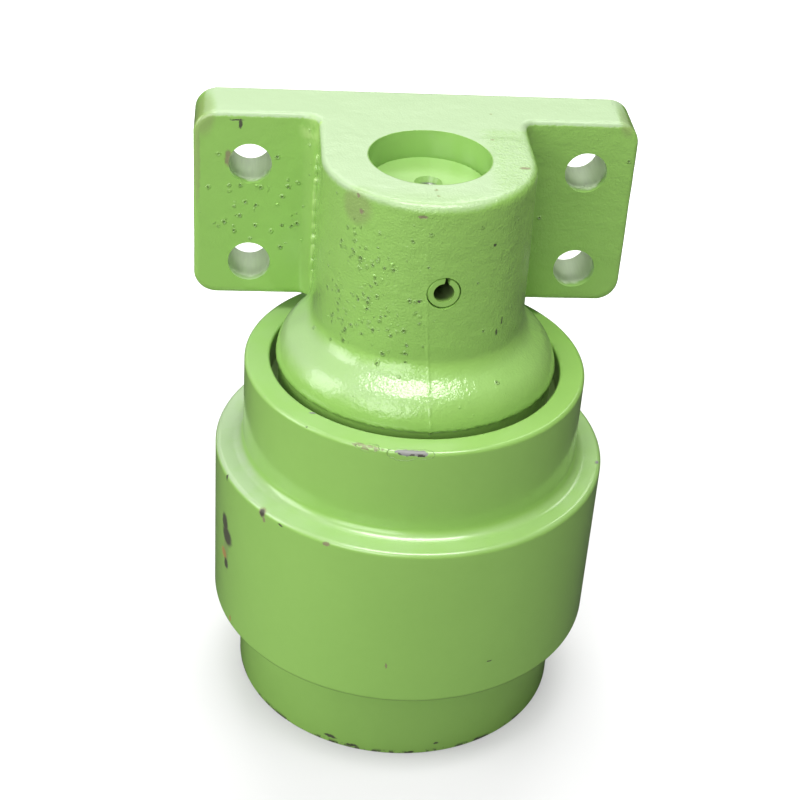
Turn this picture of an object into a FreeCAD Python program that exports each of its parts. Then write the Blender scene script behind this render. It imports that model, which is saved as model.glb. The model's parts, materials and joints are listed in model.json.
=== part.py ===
import FreeCAD, Part
import math
import os
from collections import namedtuple

# Carrier roller: a flanged roller that turns on a stub shaft, which is pinned
# into a cast bracket with a bolt-on mounting plate.
# Millimetres. The origin is on the roller's axis at its free end face, +Z runs
# up the axis towards the bracket, and the mounting plate lies on the +Y side.

Vector = FreeCAD.Vector
AXIS = Vector(0, 0, 1)
CENTRE = Vector(0, 0, 0)

# Roller shell
TREAD_DIAMETER = 205.0
TREAD_WIDTH = 95.5
TREAD_EDGE_RADIUS = 2.5
RIM_DIAMETER = 176.0
OUTER_RIM_WIDTH = 50.0
INNER_RIM_WIDTH = 50.0
RIM_EDGE_RADIUS = 2.0
RIM_COVE_RADIUS = 5.5
RIM_UNDER_COVE_RADIUS = 3.0
END_EDGE_RADIUS = 1.0
GUARD_BORE_DIAMETER = 150.0
LAND_STEP = 5.0

# Mounting plate of the bracket
PLATE_WIDTH = 227.2
PLATE_HEIGHT = 102.0
PLATE_THICKNESS = 31.0
PLATE_CORNER_RADIUS = 12.0
PLATE_FACE_OFFSET = 76.0
PLATE_ABOVE_SHELL = 10.5
BOLT_HOLE_DIAMETER = 22.0
BOLT_SPACING_X = 173.0
BOLT_SPACING_Z = 56.0
BOLT_CENTRE_BELOW_TOP = 55.0

# The casting's outline lies a little off the machined bores, and its top rises to the back
CAST_SHIFT_X = -1.7
TOP_RISE_DEG = 0.7

# Boss and bell guard of the bracket
BOSS_TOP_WIDTH = 105.0
BOSS_FOOT_WIDTH = 107.0
BOSS_PLATE_FILLET = 6.0
CAST_EDGE_RADIUS = 3.5
BELL_LIP_DIAMETER = 144.4
BELL_LIP_HEIGHT = 1.5
BELL_FLANK_DIAMETER = 141.4
BELL_SLOPE_DEG = 55.0
BELL_SHOULDER_RADIUS = 19.0
BELL_NECK_RADIUS = 12.0
BELL_RUN_OUT = 6.0

# Stub shaft and its pin
SHAFT_DIAMETER = 60.0
SHAFT_END_DEPTH = 13.0
SHAFT_MIDDLE_DIAMETER = 58.0
SHAFT_CHAMFER = 1.5
COLLAR_DIAMETER = 82.0
COLLAR_LENGTH = 36.0
CENTRE_HOLE_DIAMETER = 13.8
CENTRE_PILOT_DIAMETER = 6.0
CENTRE_PILOT_DEPTH = 16.0
CENTRE_CONE_DEG = 60.0
THREAD_OVERRUN = 4.0
KEYWAY_WIDTH = 8.0
KEYWAY_DEPTH = 3.5
PIN_DIAMETER = 16.0
PIN_WALL = 3.0
PIN_SLOT_WIDTH = 2.4
PIN_LENGTH = 100.0
PIN_CHAMFER = 1.0
PIN_RECESS = 0.5
PIN_BELOW_TOP = 45.5
PIN_TURN_DEG = 6.0
PIN_SLOT_TURN_DEG = 12.0

# Floating seal: the same half is used on the bracket side and the shell side
SEAL_PLANE_DEPTH = 14.0
SEAL_SEAT_GAP = 3.0
SEAL_FACE_GAP = 0.15
SEAL_POCKET_DEPTH = 14.0
SEAL_RING_BORE_DIAMETER = 98.0
SEAL_RING_DIAMETER = 120.0
SEAL_RING_LENGTH = 13.2
SEAL_FLANGE_THICKNESS = 3.0
SEAL_RAMP_START = 4.2
SEAL_RAMP_DEG = 18.43
TORIC_SECTION_DIAMETER = 7.6
TORIC_DEPTH = 8.3
TORIC_RING_INSET = 2.2

# Tapered roller bearings, each with the proportions of a catalogue size
BearingSize = namedtuple(
    "BearingSize",
    "bore outside width cone_width cup_width pitch roller length middle count",
)
INNER_BEARING = BearingSize(60.0, 110.0, 29.75, 28.0, 24.0, 86.0, 13.0, 19.0, 15.3, 17)
OUTER_BEARING = BearingSize(55.0, 100.0, 26.75, 25.0, 21.0, 78.4, 11.8, 17.0, 13.8, 16)
BEARING_SPREAD = 55.0
CUP_ANGLE_DEG = 15.0
LARGE_RIB_HEIGHT = 3.4
SMALL_RIB_HEIGHT = 1.2
CAGE_WALL = 1.6
CAGE_LIFT = 1.4
CAGE_BORDER = 2.2
SHOULDER_HEIGHT_INNER = 6.0
SHOULDER_HEIGHT_OUTER = 4.5

# Lock nut and tab washer at the outer end of the shaft
NUT_DIAMETER = 75.0
NUT_THICKNESS = 11.0
NUT_SLOT_WIDTH = 7.0
NUT_SLOT_DEPTH = 3.5
NUT_SLOT_COUNT = 4
TAB_WASHER_DIAMETER = 67.0
TAB_WASHER_THICKNESS = 1.5
TAB_TIP_DIAMETER = 80.0
TAB_WIDTH = 5.0
TAB_COUNT = 12
TAB_OVERLAP = 1.0

# End cover with its circlip, filler plug and washer
COVER_DIAMETER = 112.0
COVER_THICKNESS = 11.0
COVER_SEAT_HEIGHT = 20.0
COVER_RIM_WIDTH = 8.0
COVER_HUB_DIAMETER = 40.0
COVER_DISH_INSIDE = 5.0
COVER_DISH_OUTSIDE = 2.0
COVER_DISH_RADIUS = 3.0
CIRCLIP_THICKNESS = 3.0
CIRCLIP_WIDTH = 7.0
CIRCLIP_GROOVE_DEPTH = 3.0
CIRCLIP_OPENING_DEG = 20.0
CIRCLIP_LUG_DIAMETER = 10.0
CIRCLIP_LUG_HOLE = 3.5
PLUG_THREAD_DIAMETER = 24.0
PLUG_HEAD_DIAMETER = 30.0
PLUG_HEAD_THICKNESS = 4.5
PLUG_SOCKET_WIDTH = 12.0
PLUG_SOCKET_DEPTH = 8.0
PLUG_WASHER_THICKNESS = 1.5

# O-rings of the shaft and the cover share one section
O_RING_SECTION = 3.2
O_RING_GROOVE_WIDTH = 4.4
SHAFT_O_RING_ABOVE_COLLAR = 10.5

# Clearances, each measured on the radius or across one face
FIT_CLEARANCE = 0.02
THREAD_CLEARANCE = 0.05
ROLLER_CLEARANCE = 0.08
POCKET_CLEARANCE = 0.3
SLIDE_CLEARANCE = 0.1

# Levels along the axis
TREAD_FOOT = OUTER_RIM_WIDTH
TREAD_HEAD = TREAD_FOOT + TREAD_WIDTH
SHELL_TOP = TREAD_HEAD + INNER_RIM_WIDTH
SEAL_PLANE = SHELL_TOP - SEAL_PLANE_DEPTH
COLLAR_TOP = SEAL_PLANE + SEAL_POCKET_DEPTH
COLLAR_FOOT = COLLAR_TOP - COLLAR_LENGTH
LAND_TOP = COLLAR_FOOT - INNER_BEARING.width
LAND_FOOT = LAND_TOP - BEARING_SPREAD
OUTER_CONE_BACK = LAND_FOOT - OUTER_BEARING.width
NUT_TOP = OUTER_CONE_BACK - TAB_WASHER_THICKNESS
NUT_FOOT = NUT_TOP - NUT_THICKNESS
SHAFT_FOOT = NUT_FOOT - THREAD_OVERRUN
PLATE_FOOT = SHELL_TOP + PLATE_ABOVE_SHELL
BRACKET_TOP = PLATE_FOOT + PLATE_HEIGHT
SHAFT_TOP = BRACKET_TOP - SHAFT_END_DEPTH
PIN_LEVEL = BRACKET_TOP - PIN_BELOW_TOP
COVER_FACE = COVER_SEAT_HEIGHT - COVER_THICKNESS

SHAFT_RADIUS = SHAFT_DIAMETER / 2
THREAD_RADIUS = OUTER_BEARING.bore / 2
PLATE_FRONT = PLATE_FACE_OFFSET - PLATE_THICKNESS


def rounded_corner(before, point, after, radius):
    """Start, middle and end of the arc that rounds one corner, or the bare point."""
    if radius == 0:
        return point, None, point
    back = (before - point).normalize()
    ahead = (after - point).normalize()
    half_angle = back.getAngle(ahead) / 2
    reach = radius / math.tan(half_angle)
    bisector = (back + ahead).normalize()
    middle = point + bisector * (radius / math.sin(half_angle) - radius)
    return point + back * reach, middle, point + ahead * reach


def outline(corners):
    """Closed wire through (point, rounding radius) corners."""
    rounded = []
    for index, (point, radius) in enumerate(corners):
        before = corners[index - 1][0]
        after = corners[(index + 1) % len(corners)][0]
        rounded.append(rounded_corner(before, point, after, radius))
    edges = []
    for index, (start, middle, end) in enumerate(rounded):
        if middle is not None:
            edges.append(Part.Arc(start, middle, end).toShape())
        following = rounded[(index + 1) % len(rounded)][0]
        if (following - end).Length > 1e-6:
            edges.append(Part.makeLine(end, following))
    return Part.Wire(edges)


def lathe(*corners):
    """Solid turned about the axis from (radius, height[, rounding]) corners."""
    points = []
    for corner in corners:
        rounding = corner[2] if len(corner) > 2 else 0
        points.append((Vector(corner[0], 0, corner[1]), rounding))
    return Part.Face(outline(points)).revolve(CENTRE, AXIS, 360)


def tube(inner_radius, outer_radius, foot, top):
    """Plain ring between two heights."""
    return lathe((inner_radius, foot), (outer_radius, foot), (outer_radius, top), (inner_radius, top))


def turned(shape, degrees):
    """Copy of a shape turned about the roller's axis."""
    copy = shape.copy()
    copy.rotate(CENTRE, AXIS, degrees)
    return copy


def spaced_round(shape, count, first=0.0):
    """Equal copies of a shape around the roller's axis."""
    return [turned(shape, first + index * 360.0 / count) for index in range(count)]


def seal_ramp_radius(contact_radius, depth, offset):
    """Radius at a depth of a seal ramp that lies offset from the toric's centre line."""
    slope = math.radians(SEAL_RAMP_DEG)
    return contact_radius + offset / math.cos(slope) + (TORIC_DEPTH - depth) * math.tan(slope)


def toric_radius():
    """Radius of the circle on which the middle of the rubber toric lies."""
    slope = math.radians(SEAL_RAMP_DEG)
    ramp_start = SEAL_RING_DIAMETER / 2 - TORIC_RING_INSET
    fall = (TORIC_DEPTH - SEAL_RAMP_START) * math.tan(slope)
    return ramp_start - fall + TORIC_SECTION_DIAMETER / 2 / math.cos(slope)


def seal_pocket(side):
    """Room that one seal half takes in its housing: +1 in the bell, -1 in the shell."""
    half_section = TORIC_SECTION_DIAMETER / 2
    mouth = SEAL_SEAT_GAP / 2
    ramp_end = TORIC_DEPTH + half_section
    mouth_radius = seal_ramp_radius(toric_radius(), mouth, half_section)
    end_radius = seal_ramp_radius(toric_radius(), ramp_end, half_section)
    return lathe(
        (0, SEAL_PLANE),
        (mouth_radius, SEAL_PLANE),
        (mouth_radius, SEAL_PLANE + side * mouth),
        (end_radius, SEAL_PLANE + side * ramp_end),
        (end_radius, SEAL_PLANE + side * SEAL_POCKET_DEPTH),
        (0, SEAL_PLANE + side * SEAL_POCKET_DEPTH),
    )


def seal_ring(side):
    """Hard metal ring of the floating seal, lapped on the face at the seal plane."""
    face = SEAL_PLANE + side * SEAL_FACE_GAP / 2
    bore = SEAL_RING_BORE_DIAMETER / 2
    ring_radius = SEAL_RING_DIAMETER / 2
    half_section = TORIC_SECTION_DIAMETER / 2
    ramp_start = ring_radius - TORIC_RING_INSET
    ramp_end = seal_ramp_radius(toric_radius(), SEAL_RING_LENGTH, -half_section)
    return lathe(
        (bore, face),
        (ring_radius, face),
        (ring_radius, SEAL_PLANE + side * SEAL_FLANGE_THICKNESS),
        (ramp_start, SEAL_PLANE + side * SEAL_RAMP_START),
        (ramp_end, SEAL_PLANE + side * SEAL_RING_LENGTH),
        (bore, SEAL_PLANE + side * SEAL_RING_LENGTH),
    )


def seal_toric(side):
    """Rubber ring that carries one seal half between its two ramps."""
    middle = Vector(0, 0, SEAL_PLANE + side * TORIC_DEPTH)
    return Part.makeTorus(toric_radius(), TORIC_SECTION_DIAMETER / 2 - FIT_CLEARANCE, middle, AXIS)


def boss_radius(level):
    """Radius of the cast boss, which tapers slightly towards its top."""
    share = (BRACKET_TOP - level) / PLATE_HEIGHT
    return (BOSS_TOP_WIDTH + (BOSS_FOOT_WIDTH - BOSS_TOP_WIDTH) * share) / 2


def plate_ends():
    """X of the plate's left and right ends."""
    return CAST_SHIFT_X - PLATE_WIDTH / 2, CAST_SHIFT_X + PLATE_WIDTH / 2


def top_level(y):
    """Height of the casting's top, which rises from the boss's front to the plate's back."""
    return BRACKET_TOP + (y + BOSS_TOP_WIDTH / 2) * math.tan(math.radians(TOP_RISE_DEG))


def head_plan(level):
    """Plan of the boss run back into the plate, at one level."""
    radius = boss_radius(level)
    left, right = plate_ends()
    fillet = BOSS_PLATE_FILLET
    front, back = PLATE_FRONT, PLATE_FACE_OFFSET

    def at(x, y):
        return Vector(x, y, level)

    slant = math.sqrt(0.5) * fillet
    points = [at(left, back), at(left, front), at(-radius - fillet, front)]
    left_fillet = at(-radius - fillet + slant, front - fillet + slant)
    right_fillet = at(radius + fillet - slant, front - fillet + slant)
    edges = [
        Part.makeLine(points[0], points[1]),
        Part.makeLine(points[1], points[2]),
        Part.Arc(points[2], left_fillet, at(-radius, front - fillet)).toShape(),
        Part.makeLine(at(-radius, front - fillet), at(-radius, 0)),
        Part.Arc(at(-radius, 0), at(0, -radius), at(radius, 0)).toShape(),
        Part.makeLine(at(radius, 0), at(radius, front - fillet)),
        Part.Arc(at(radius, front - fillet), right_fillet, at(radius + fillet, front)).toShape(),
        Part.makeLine(at(radius + fillet, front), at(right, front)),
        Part.makeLine(at(right, front), at(right, back)),
        Part.makeLine(at(right, back), points[0]),
    ]
    return Part.Wire(edges)


def plate_front():
    """Front outline of the plate as a block deep enough to trim the whole head."""
    left, right = plate_ends()
    wires = []
    for y in (-BOSS_FOOT_WIDTH, PLATE_FACE_OFFSET):
        corners = []
        for x, z in [(left, PLATE_FOOT), (right, PLATE_FOOT), (right, top_level(y)), (left, top_level(y))]:
            corners.append((Vector(x, y, z), PLATE_CORNER_RADIUS))
        wires.append(outline(corners))
    return Part.makeLoft(wires, True, True)


def cast_head():
    """Plate and boss of the bracket with their front edges rounded."""
    highest = top_level(PLATE_FACE_OFFSET)
    column = Part.makeLoft([head_plan(PLATE_FOOT), head_plan(highest)], True, True)
    head = column.common(plate_front())
    front_edges = []
    for edge in head.Edges:
        box = edge.BoundBox
        lies_level = box.ZLength < highest - BRACKET_TOP
        off_middle = abs(edge.CenterOfMass.x - CAST_SHIFT_X)
        on_end = abs(off_middle - PLATE_WIDTH / 2) < PLATE_CORNER_RADIUS
        if box.YMax < PLATE_FACE_OFFSET - 1 and (lies_level or on_end):
            front_edges.append(edge)
    return head.makeFillet(CAST_EDGE_RADIUS, front_edges)


def bell():
    """Bell guard below the boss: it reaches into the shell and sheds water off the seal."""
    lip = BELL_LIP_DIAMETER / 2
    flank = BELL_FLANK_DIAMETER / 2
    foot = SEAL_PLANE + SEAL_SEAT_GAP / 2
    lip_level = SHELL_TOP
    slope = math.radians(BELL_SLOPE_DEG)
    shoulder_corner = lip_level + BELL_LIP_HEIGHT + BELL_SHOULDER_RADIUS * math.tan(slope / 2)
    neck = boss_radius(PLATE_FOOT)
    neck_corner = shoulder_corner + (lip - neck) / math.tan(slope)
    top = neck_corner + 2 * BELL_NECK_RADIUS * math.tan(slope / 2)
    inside = SHAFT_RADIUS / 2
    return lathe(
        (inside, foot),
        (flank, foot, END_EDGE_RADIUS),
        (flank, lip_level),
        (lip, lip_level + BELL_LIP_HEIGHT / 2),
        (lip, shoulder_corner, BELL_SHOULDER_RADIUS),
        (neck, neck_corner, BELL_NECK_RADIUS),
        (neck, top),
        (boss_radius(top + BELL_RUN_OUT) - FIT_CLEARANCE, top + BELL_RUN_OUT),
        (inside, top + BELL_RUN_OUT),
    )


def bolt_holes():
    """Four through holes for the bolts that hold the plate."""
    centre = BRACKET_TOP - BOLT_CENTRE_BELOW_TOP
    holes = []
    for x in (-BOLT_SPACING_X / 2, BOLT_SPACING_X / 2):
        for z in (centre - BOLT_SPACING_Z / 2, centre + BOLT_SPACING_Z / 2):
            start = Vector(x, PLATE_FRONT - 1, z)
            drill = Part.makeCylinder(BOLT_HOLE_DIAMETER / 2, PLATE_THICKNESS + 2, start, Vector(0, 1, 0))
            holes.append(drill)
    return holes


def pin_drill():
    """Cross hole for the pin, from the boss's front right through to the mounting face."""
    radius = PIN_DIAMETER / 2 + FIT_CLEARANCE
    length = BOSS_FOOT_WIDTH + 2 * PLATE_FACE_OFFSET
    start = Vector(0, -length / 2, PIN_LEVEL)
    drill = Part.makeCylinder(radius, length, start, Vector(0, 1, 0))
    return turned(drill, PIN_TURN_DEG)


def bracket():
    """One casting: mounting plate, boss and bell guard."""
    casting = cast_head().fuse(bell())
    bore = Part.makeCylinder(SHAFT_RADIUS + FIT_CLEARANCE, BRACKET_TOP, Vector(0, 0, SEAL_PLANE), AXIS)
    cuts = bolt_holes() + [bore, seal_pocket(1), pin_drill()]
    return casting.cut(cuts).removeSplitter()


def spring_pin():
    """Slotted tube driven through the boss and the shaft."""
    radius = PIN_DIAMETER / 2
    bore = radius - PIN_WALL
    start = -(boss_radius(PIN_LEVEL) - PIN_RECESS)
    body = lathe(
        (bore, 0),
        (radius - PIN_CHAMFER / 2, 0),
        (radius, PIN_CHAMFER),
        (radius, PIN_LENGTH - PIN_CHAMFER),
        (radius - PIN_CHAMFER / 2, PIN_LENGTH),
        (bore, PIN_LENGTH),
    )
    slot = Part.makeBox(PIN_SLOT_WIDTH, PIN_DIAMETER, PIN_LENGTH + 2,
                        Vector(-PIN_SLOT_WIDTH / 2, 0, -1))
    pin = body.cut(slot)
    pin.rotate(CENTRE, AXIS, PIN_SLOT_TURN_DEG)
    pin.rotate(CENTRE, Vector(1, 0, 0), -90)
    pin.rotate(CENTRE, Vector(0, 1, 0), 180)
    pin.translate(Vector(0, start, PIN_LEVEL))
    return turned(pin, PIN_TURN_DEG)


def centre_hole(level, direction):
    """Centre drilling in a shaft end, with its mouth at a level."""
    mouth = CENTRE_HOLE_DIAMETER / 2
    pilot = CENTRE_PILOT_DIAMETER / 2
    cone_depth = (mouth - pilot) / math.tan(math.radians(CENTRE_CONE_DEG / 2))
    inward = AXIS * direction
    cone = Part.makeCone(mouth, pilot, cone_depth, Vector(0, 0, level), inward)
    drill = Part.makeCylinder(pilot, CENTRE_PILOT_DEPTH, Vector(0, 0, level), inward)
    return cone.fuse(drill)


def shaft():
    """Stepped stub shaft: pinned end, seal collar, two bearing seats and thread."""
    middle = SHAFT_MIDDLE_DIAMETER / 2
    collar = COLLAR_DIAMETER / 2
    chamfer = SHAFT_CHAMFER
    inner_seat_foot = LAND_TOP
    outer_seat_top = LAND_FOOT
    groove_floor = SHAFT_RADIUS - O_RING_SECTION
    groove_foot = COLLAR_TOP + SHAFT_O_RING_ABOVE_COLLAR - O_RING_GROOVE_WIDTH / 2
    groove_top = groove_foot + O_RING_GROOVE_WIDTH
    body = lathe(
        (0, SHAFT_FOOT),
        (THREAD_RADIUS - chamfer, SHAFT_FOOT),
        (THREAD_RADIUS, SHAFT_FOOT + chamfer),
        (THREAD_RADIUS, outer_seat_top),
        (middle, outer_seat_top),
        (middle, inner_seat_foot),
        (SHAFT_RADIUS, inner_seat_foot),
        (SHAFT_RADIUS, COLLAR_FOOT),
        (collar, COLLAR_FOOT, chamfer),
        (collar, COLLAR_TOP, chamfer),
        (SHAFT_RADIUS, COLLAR_TOP),
        (SHAFT_RADIUS, groove_foot),
        (groove_floor, groove_foot),
        (groove_floor, groove_top),
        (SHAFT_RADIUS, groove_top),
        (SHAFT_RADIUS, SHAFT_TOP - chamfer),
        (SHAFT_RADIUS - chamfer, SHAFT_TOP),
        (0, SHAFT_TOP),
    )
    keyway_length = OUTER_CONE_BACK - SHAFT_FOOT
    keyway = Part.makeBox(KEYWAY_WIDTH, 2 * KEYWAY_DEPTH, keyway_length,
                          Vector(-KEYWAY_WIDTH / 2, THREAD_RADIUS - KEYWAY_DEPTH, SHAFT_FOOT))
    cuts = [keyway, pin_drill(), centre_hole(SHAFT_TOP, -1), centre_hole(SHAFT_FOOT, 1)]
    return body.cut(cuts)


def shaft_o_ring():
    """Rubber ring that keeps the oil in along the pinned end of the shaft."""
    section = O_RING_SECTION / 2
    middle = Vector(0, 0, COLLAR_TOP + SHAFT_O_RING_ABOVE_COLLAR)
    return Part.makeTorus(SHAFT_RADIUS - section, section - FIT_CLEARANCE, middle, AXIS)


def roller_shell():
    """Turned shell: wide tread between two rims, with the seats for all it holds."""
    tread = TREAD_DIAMETER / 2
    rim = RIM_DIAMETER / 2
    guard_bore = GUARD_BORE_DIAMETER / 2
    seat_face = SEAL_PLANE - SEAL_SEAT_GAP / 2
    inner_cup = INNER_BEARING.outside / 2 + FIT_CLEARANCE
    outer_cup = OUTER_BEARING.outside / 2 + FIT_CLEARANCE
    inner_land = inner_cup - SHOULDER_HEIGHT_INNER
    outer_land = outer_cup - SHOULDER_HEIGHT_OUTER
    cover_bore = COVER_DIAMETER / 2 + FIT_CLEARANCE
    groove = cover_bore + CIRCLIP_GROOVE_DEPTH
    groove_foot = COVER_FACE - CIRCLIP_THICKNESS - SLIDE_CLEARANCE
    groove_top = COVER_FACE + SLIDE_CLEARANCE
    body = lathe(
        (cover_bore, 0),
        (rim, 0, END_EDGE_RADIUS),
        (rim, TREAD_FOOT, RIM_UNDER_COVE_RADIUS),
        (tread, TREAD_FOOT, TREAD_EDGE_RADIUS),
        (tread, TREAD_HEAD, TREAD_EDGE_RADIUS),
        (rim, TREAD_HEAD, RIM_COVE_RADIUS),
        (rim, SHELL_TOP, RIM_EDGE_RADIUS),
        (guard_bore, SHELL_TOP, END_EDGE_RADIUS),
        (guard_bore, seat_face, END_EDGE_RADIUS),
        (inner_cup, seat_face),
        (inner_cup, LAND_TOP),
        (inner_land, LAND_TOP),
        (inner_land, LAND_FOOT + LAND_STEP),
        (outer_land, LAND_FOOT + LAND_STEP),
        (outer_land, LAND_FOOT),
        (outer_cup, LAND_FOOT),
        (outer_cup, COVER_SEAT_HEIGHT),
        (cover_bore, COVER_SEAT_HEIGHT),
        (cover_bore, groove_top),
        (groove, groove_top),
        (groove, groove_foot),
        (cover_bore, groove_foot),
    )
    return body.cut(seal_pocket(-1))


class BearingForm:
    """Section of a tapered roller bearing, measured from the cone's back face.

    u runs along a roller's own axis from the apex, and t across it, outwards.
    """

    def __init__(self, size):
        self.size = size
        cup_angle = math.radians(CUP_ANGLE_DEG)
        roller_radius = size.roller / 2
        pitch = size.pitch / 2
        rise = roller_radius * math.sin(cup_angle)
        self.taper = rise / (pitch + roller_radius * math.cos(cup_angle))
        self.tilt = cup_angle - math.atan(self.taper)
        self.u_middle = pitch / math.sin(self.tilt)
        self.apex = size.middle + self.u_middle * math.cos(self.tilt)
        self.u_small = self.u_middle - size.length / 2
        self.u_large = self.u_middle + size.length / 2

    def at(self, u, t):
        """(radius, distance from the back face) of a point in a roller's own frame."""
        radius = u * math.sin(self.tilt) + t * math.cos(self.tilt)
        distance = self.apex - u * math.cos(self.tilt) + t * math.sin(self.tilt)
        return radius, distance

    def cup_radius(self, distance):
        """Radius of the cup's raceway at a distance from the back face."""
        return (self.apex - distance) * math.tan(math.radians(CUP_ANGLE_DEG))


def bearing_cone(form):
    """Inner ring with its raceway between a large and a small rib."""
    size = form.size
    bore = size.bore / 2 + FIT_CLEARANCE
    large_race = form.at(form.u_large, -form.u_large * form.taper)
    small_race = form.at(form.u_small, -form.u_small * form.taper)
    large_rib = form.at(form.u_large, LARGE_RIB_HEIGHT - form.u_large * form.taper)
    small_rib = form.at(form.u_small, SMALL_RIB_HEIGHT - form.u_small * form.taper)
    return lathe(
        (bore, 0),
        (large_rib[0], 0, END_EDGE_RADIUS),
        large_rib,
        large_race,
        small_race,
        small_rib,
        (small_rib[0], size.cone_width),
        (bore, size.cone_width),
    )


def bearing_cup(form):
    """Outer ring with its tapered raceway."""
    size = form.size
    front = size.width - size.cup_width
    outside = size.outside / 2
    return lathe(
        (form.cup_radius(front), front),
        (outside, front, END_EDGE_RADIUS),
        (outside, size.width, END_EDGE_RADIUS),
        (form.cup_radius(size.width), size.width),
    )


def bearing_roller(form):
    """One tapered roller, standing in its place on the +X side."""
    small = form.u_small + ROLLER_CLEARANCE
    large = form.u_large - ROLLER_CLEARANCE
    start = form.at(small, 0)
    direction = Vector(math.sin(form.tilt), 0, -math.cos(form.tilt))
    return Part.makeCone(
        small * form.taper - ROLLER_CLEARANCE,
        large * form.taper - ROLLER_CLEARANCE,
        large - small,
        Vector(start[0], 0, start[1]),
        direction,
    )


def bearing_rollers(form):
    """Full set of tapered rollers."""
    return Part.makeCompound(spaced_round(bearing_roller(form), form.size.count))


def cage_window(form):
    """Block that cuts one window in the cage, wide enough for its roller."""
    inside = CAGE_LIFT - ROLLER_CLEARANCE
    corners = []
    for u in (form.u_small - POCKET_CLEARANCE, form.u_large + POCKET_CLEARANCE):
        radius = u * form.taper
        half_width = math.sqrt(radius ** 2 - inside ** 2) + POCKET_CLEARANCE
        corners.append((u, half_width))
    wires = []
    for t in (-form.size.roller, form.size.roller):
        points = []
        for u, half_width in corners:
            radius, distance = form.at(u, t)
            pair = [Vector(radius, -half_width, distance), Vector(radius, half_width, distance)]
            points.extend(pair if not points else reversed(pair))
        wires.append(Part.makePolygon(points + points[:1]))
    return Part.makeLoft(wires, True, True)


def bearing_cage(form):
    """Pressed cage: a tapered band with a window for each roller."""
    outside = CAGE_LIFT + CAGE_WALL
    small = form.u_small - CAGE_BORDER
    large = form.u_large + CAGE_BORDER
    turn_in = -form.size.roller / 4
    band = lathe(
        form.at(large, CAGE_LIFT),
        form.at(large, outside),
        form.at(small - CAGE_WALL, outside),
        form.at(small - CAGE_WALL, turn_in),
        form.at(small, turn_in),
        form.at(small, CAGE_LIFT),
    )
    return band.cut(spaced_round(cage_window(form), form.size.count))


def placed(shape, back_face, small_end_up):
    """Bearing piece moved so that the cone's back face is at a level."""
    copy = shape.copy()
    if not small_end_up:
        copy.rotate(CENTRE, Vector(1, 0, 0), 180)
    copy.translate(Vector(0, 0, back_face))
    return copy


def bearing_parts(prefix, size, back_face, small_end_up):
    """The four pieces of one bearing, each under its own name."""
    form = BearingForm(size)
    return {
        prefix + "_bearing_cone": placed(bearing_cone(form), back_face, small_end_up),
        prefix + "_bearing_cup": placed(bearing_cup(form), back_face, small_end_up),
        prefix + "_bearing_rollers": placed(bearing_rollers(form), back_face, small_end_up),
        prefix + "_bearing_cage": placed(bearing_cage(form), back_face, small_end_up),
    }


def lock_nut():
    """Slotted round nut that clamps the outer bearing."""
    radius = NUT_DIAMETER / 2
    body = lathe(
        (THREAD_RADIUS + THREAD_CLEARANCE, NUT_FOOT),
        (radius, NUT_FOOT, SHAFT_CHAMFER),
        (radius, NUT_TOP),
        (THREAD_RADIUS + THREAD_CLEARANCE, NUT_TOP),
    )
    slot = Part.makeBox(NUT_SLOT_WIDTH, 2 * NUT_SLOT_DEPTH, NUT_THICKNESS,
                        Vector(-NUT_SLOT_WIDTH / 2, radius - NUT_SLOT_DEPTH, NUT_FOOT))
    return body.cut(spaced_round(slot, NUT_SLOT_COUNT))


def tab_washer():
    """Lock washer: its inner tab sits in the keyway and one outer tab in a nut slot."""
    inner = THREAD_RADIUS + SLIDE_CLEARANCE
    rim = TAB_WASHER_DIAMETER / 2
    thickness = TAB_WASHER_THICKNESS
    ring = tube(inner, rim, NUT_TOP, OUTER_CONE_BACK)
    key_reach = KEYWAY_DEPTH - SLIDE_CLEARANCE
    key_width = KEYWAY_WIDTH - 2 * SLIDE_CLEARANCE
    key = Part.makeBox(key_width, key_reach + TAB_OVERLAP, thickness,
                       Vector(-key_width / 2, THREAD_RADIUS - key_reach, NUT_TOP))
    root_start = rim - TAB_OVERLAP
    straight = Part.makeBox(TAB_WIDTH, TAB_TIP_DIAMETER / 2 - root_start, thickness,
                            Vector(-TAB_WIDTH / 2, root_start, NUT_TOP))
    slot_floor = NUT_DIAMETER / 2 - NUT_SLOT_DEPTH
    bent_foot = NUT_TOP - NUT_THICKNESS / 2
    bent_start = slot_floor + SLIDE_CLEARANCE
    bent = Part.makeBox(TAB_WIDTH, thickness, OUTER_CONE_BACK - bent_foot,
                        Vector(-TAB_WIDTH / 2, bent_start, bent_foot))
    root = Part.makeBox(TAB_WIDTH, bent_start - root_start + thickness, thickness,
                        Vector(-TAB_WIDTH / 2, root_start, NUT_TOP))
    tabs = spaced_round(straight, TAB_COUNT)[1:]
    return ring.fuse(tabs + [key, root, bent]).removeSplitter()


def cover_groove_middle():
    """Level of the middle of the cover's O-ring groove."""
    return COVER_FACE + COVER_THICKNESS / 2


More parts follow.
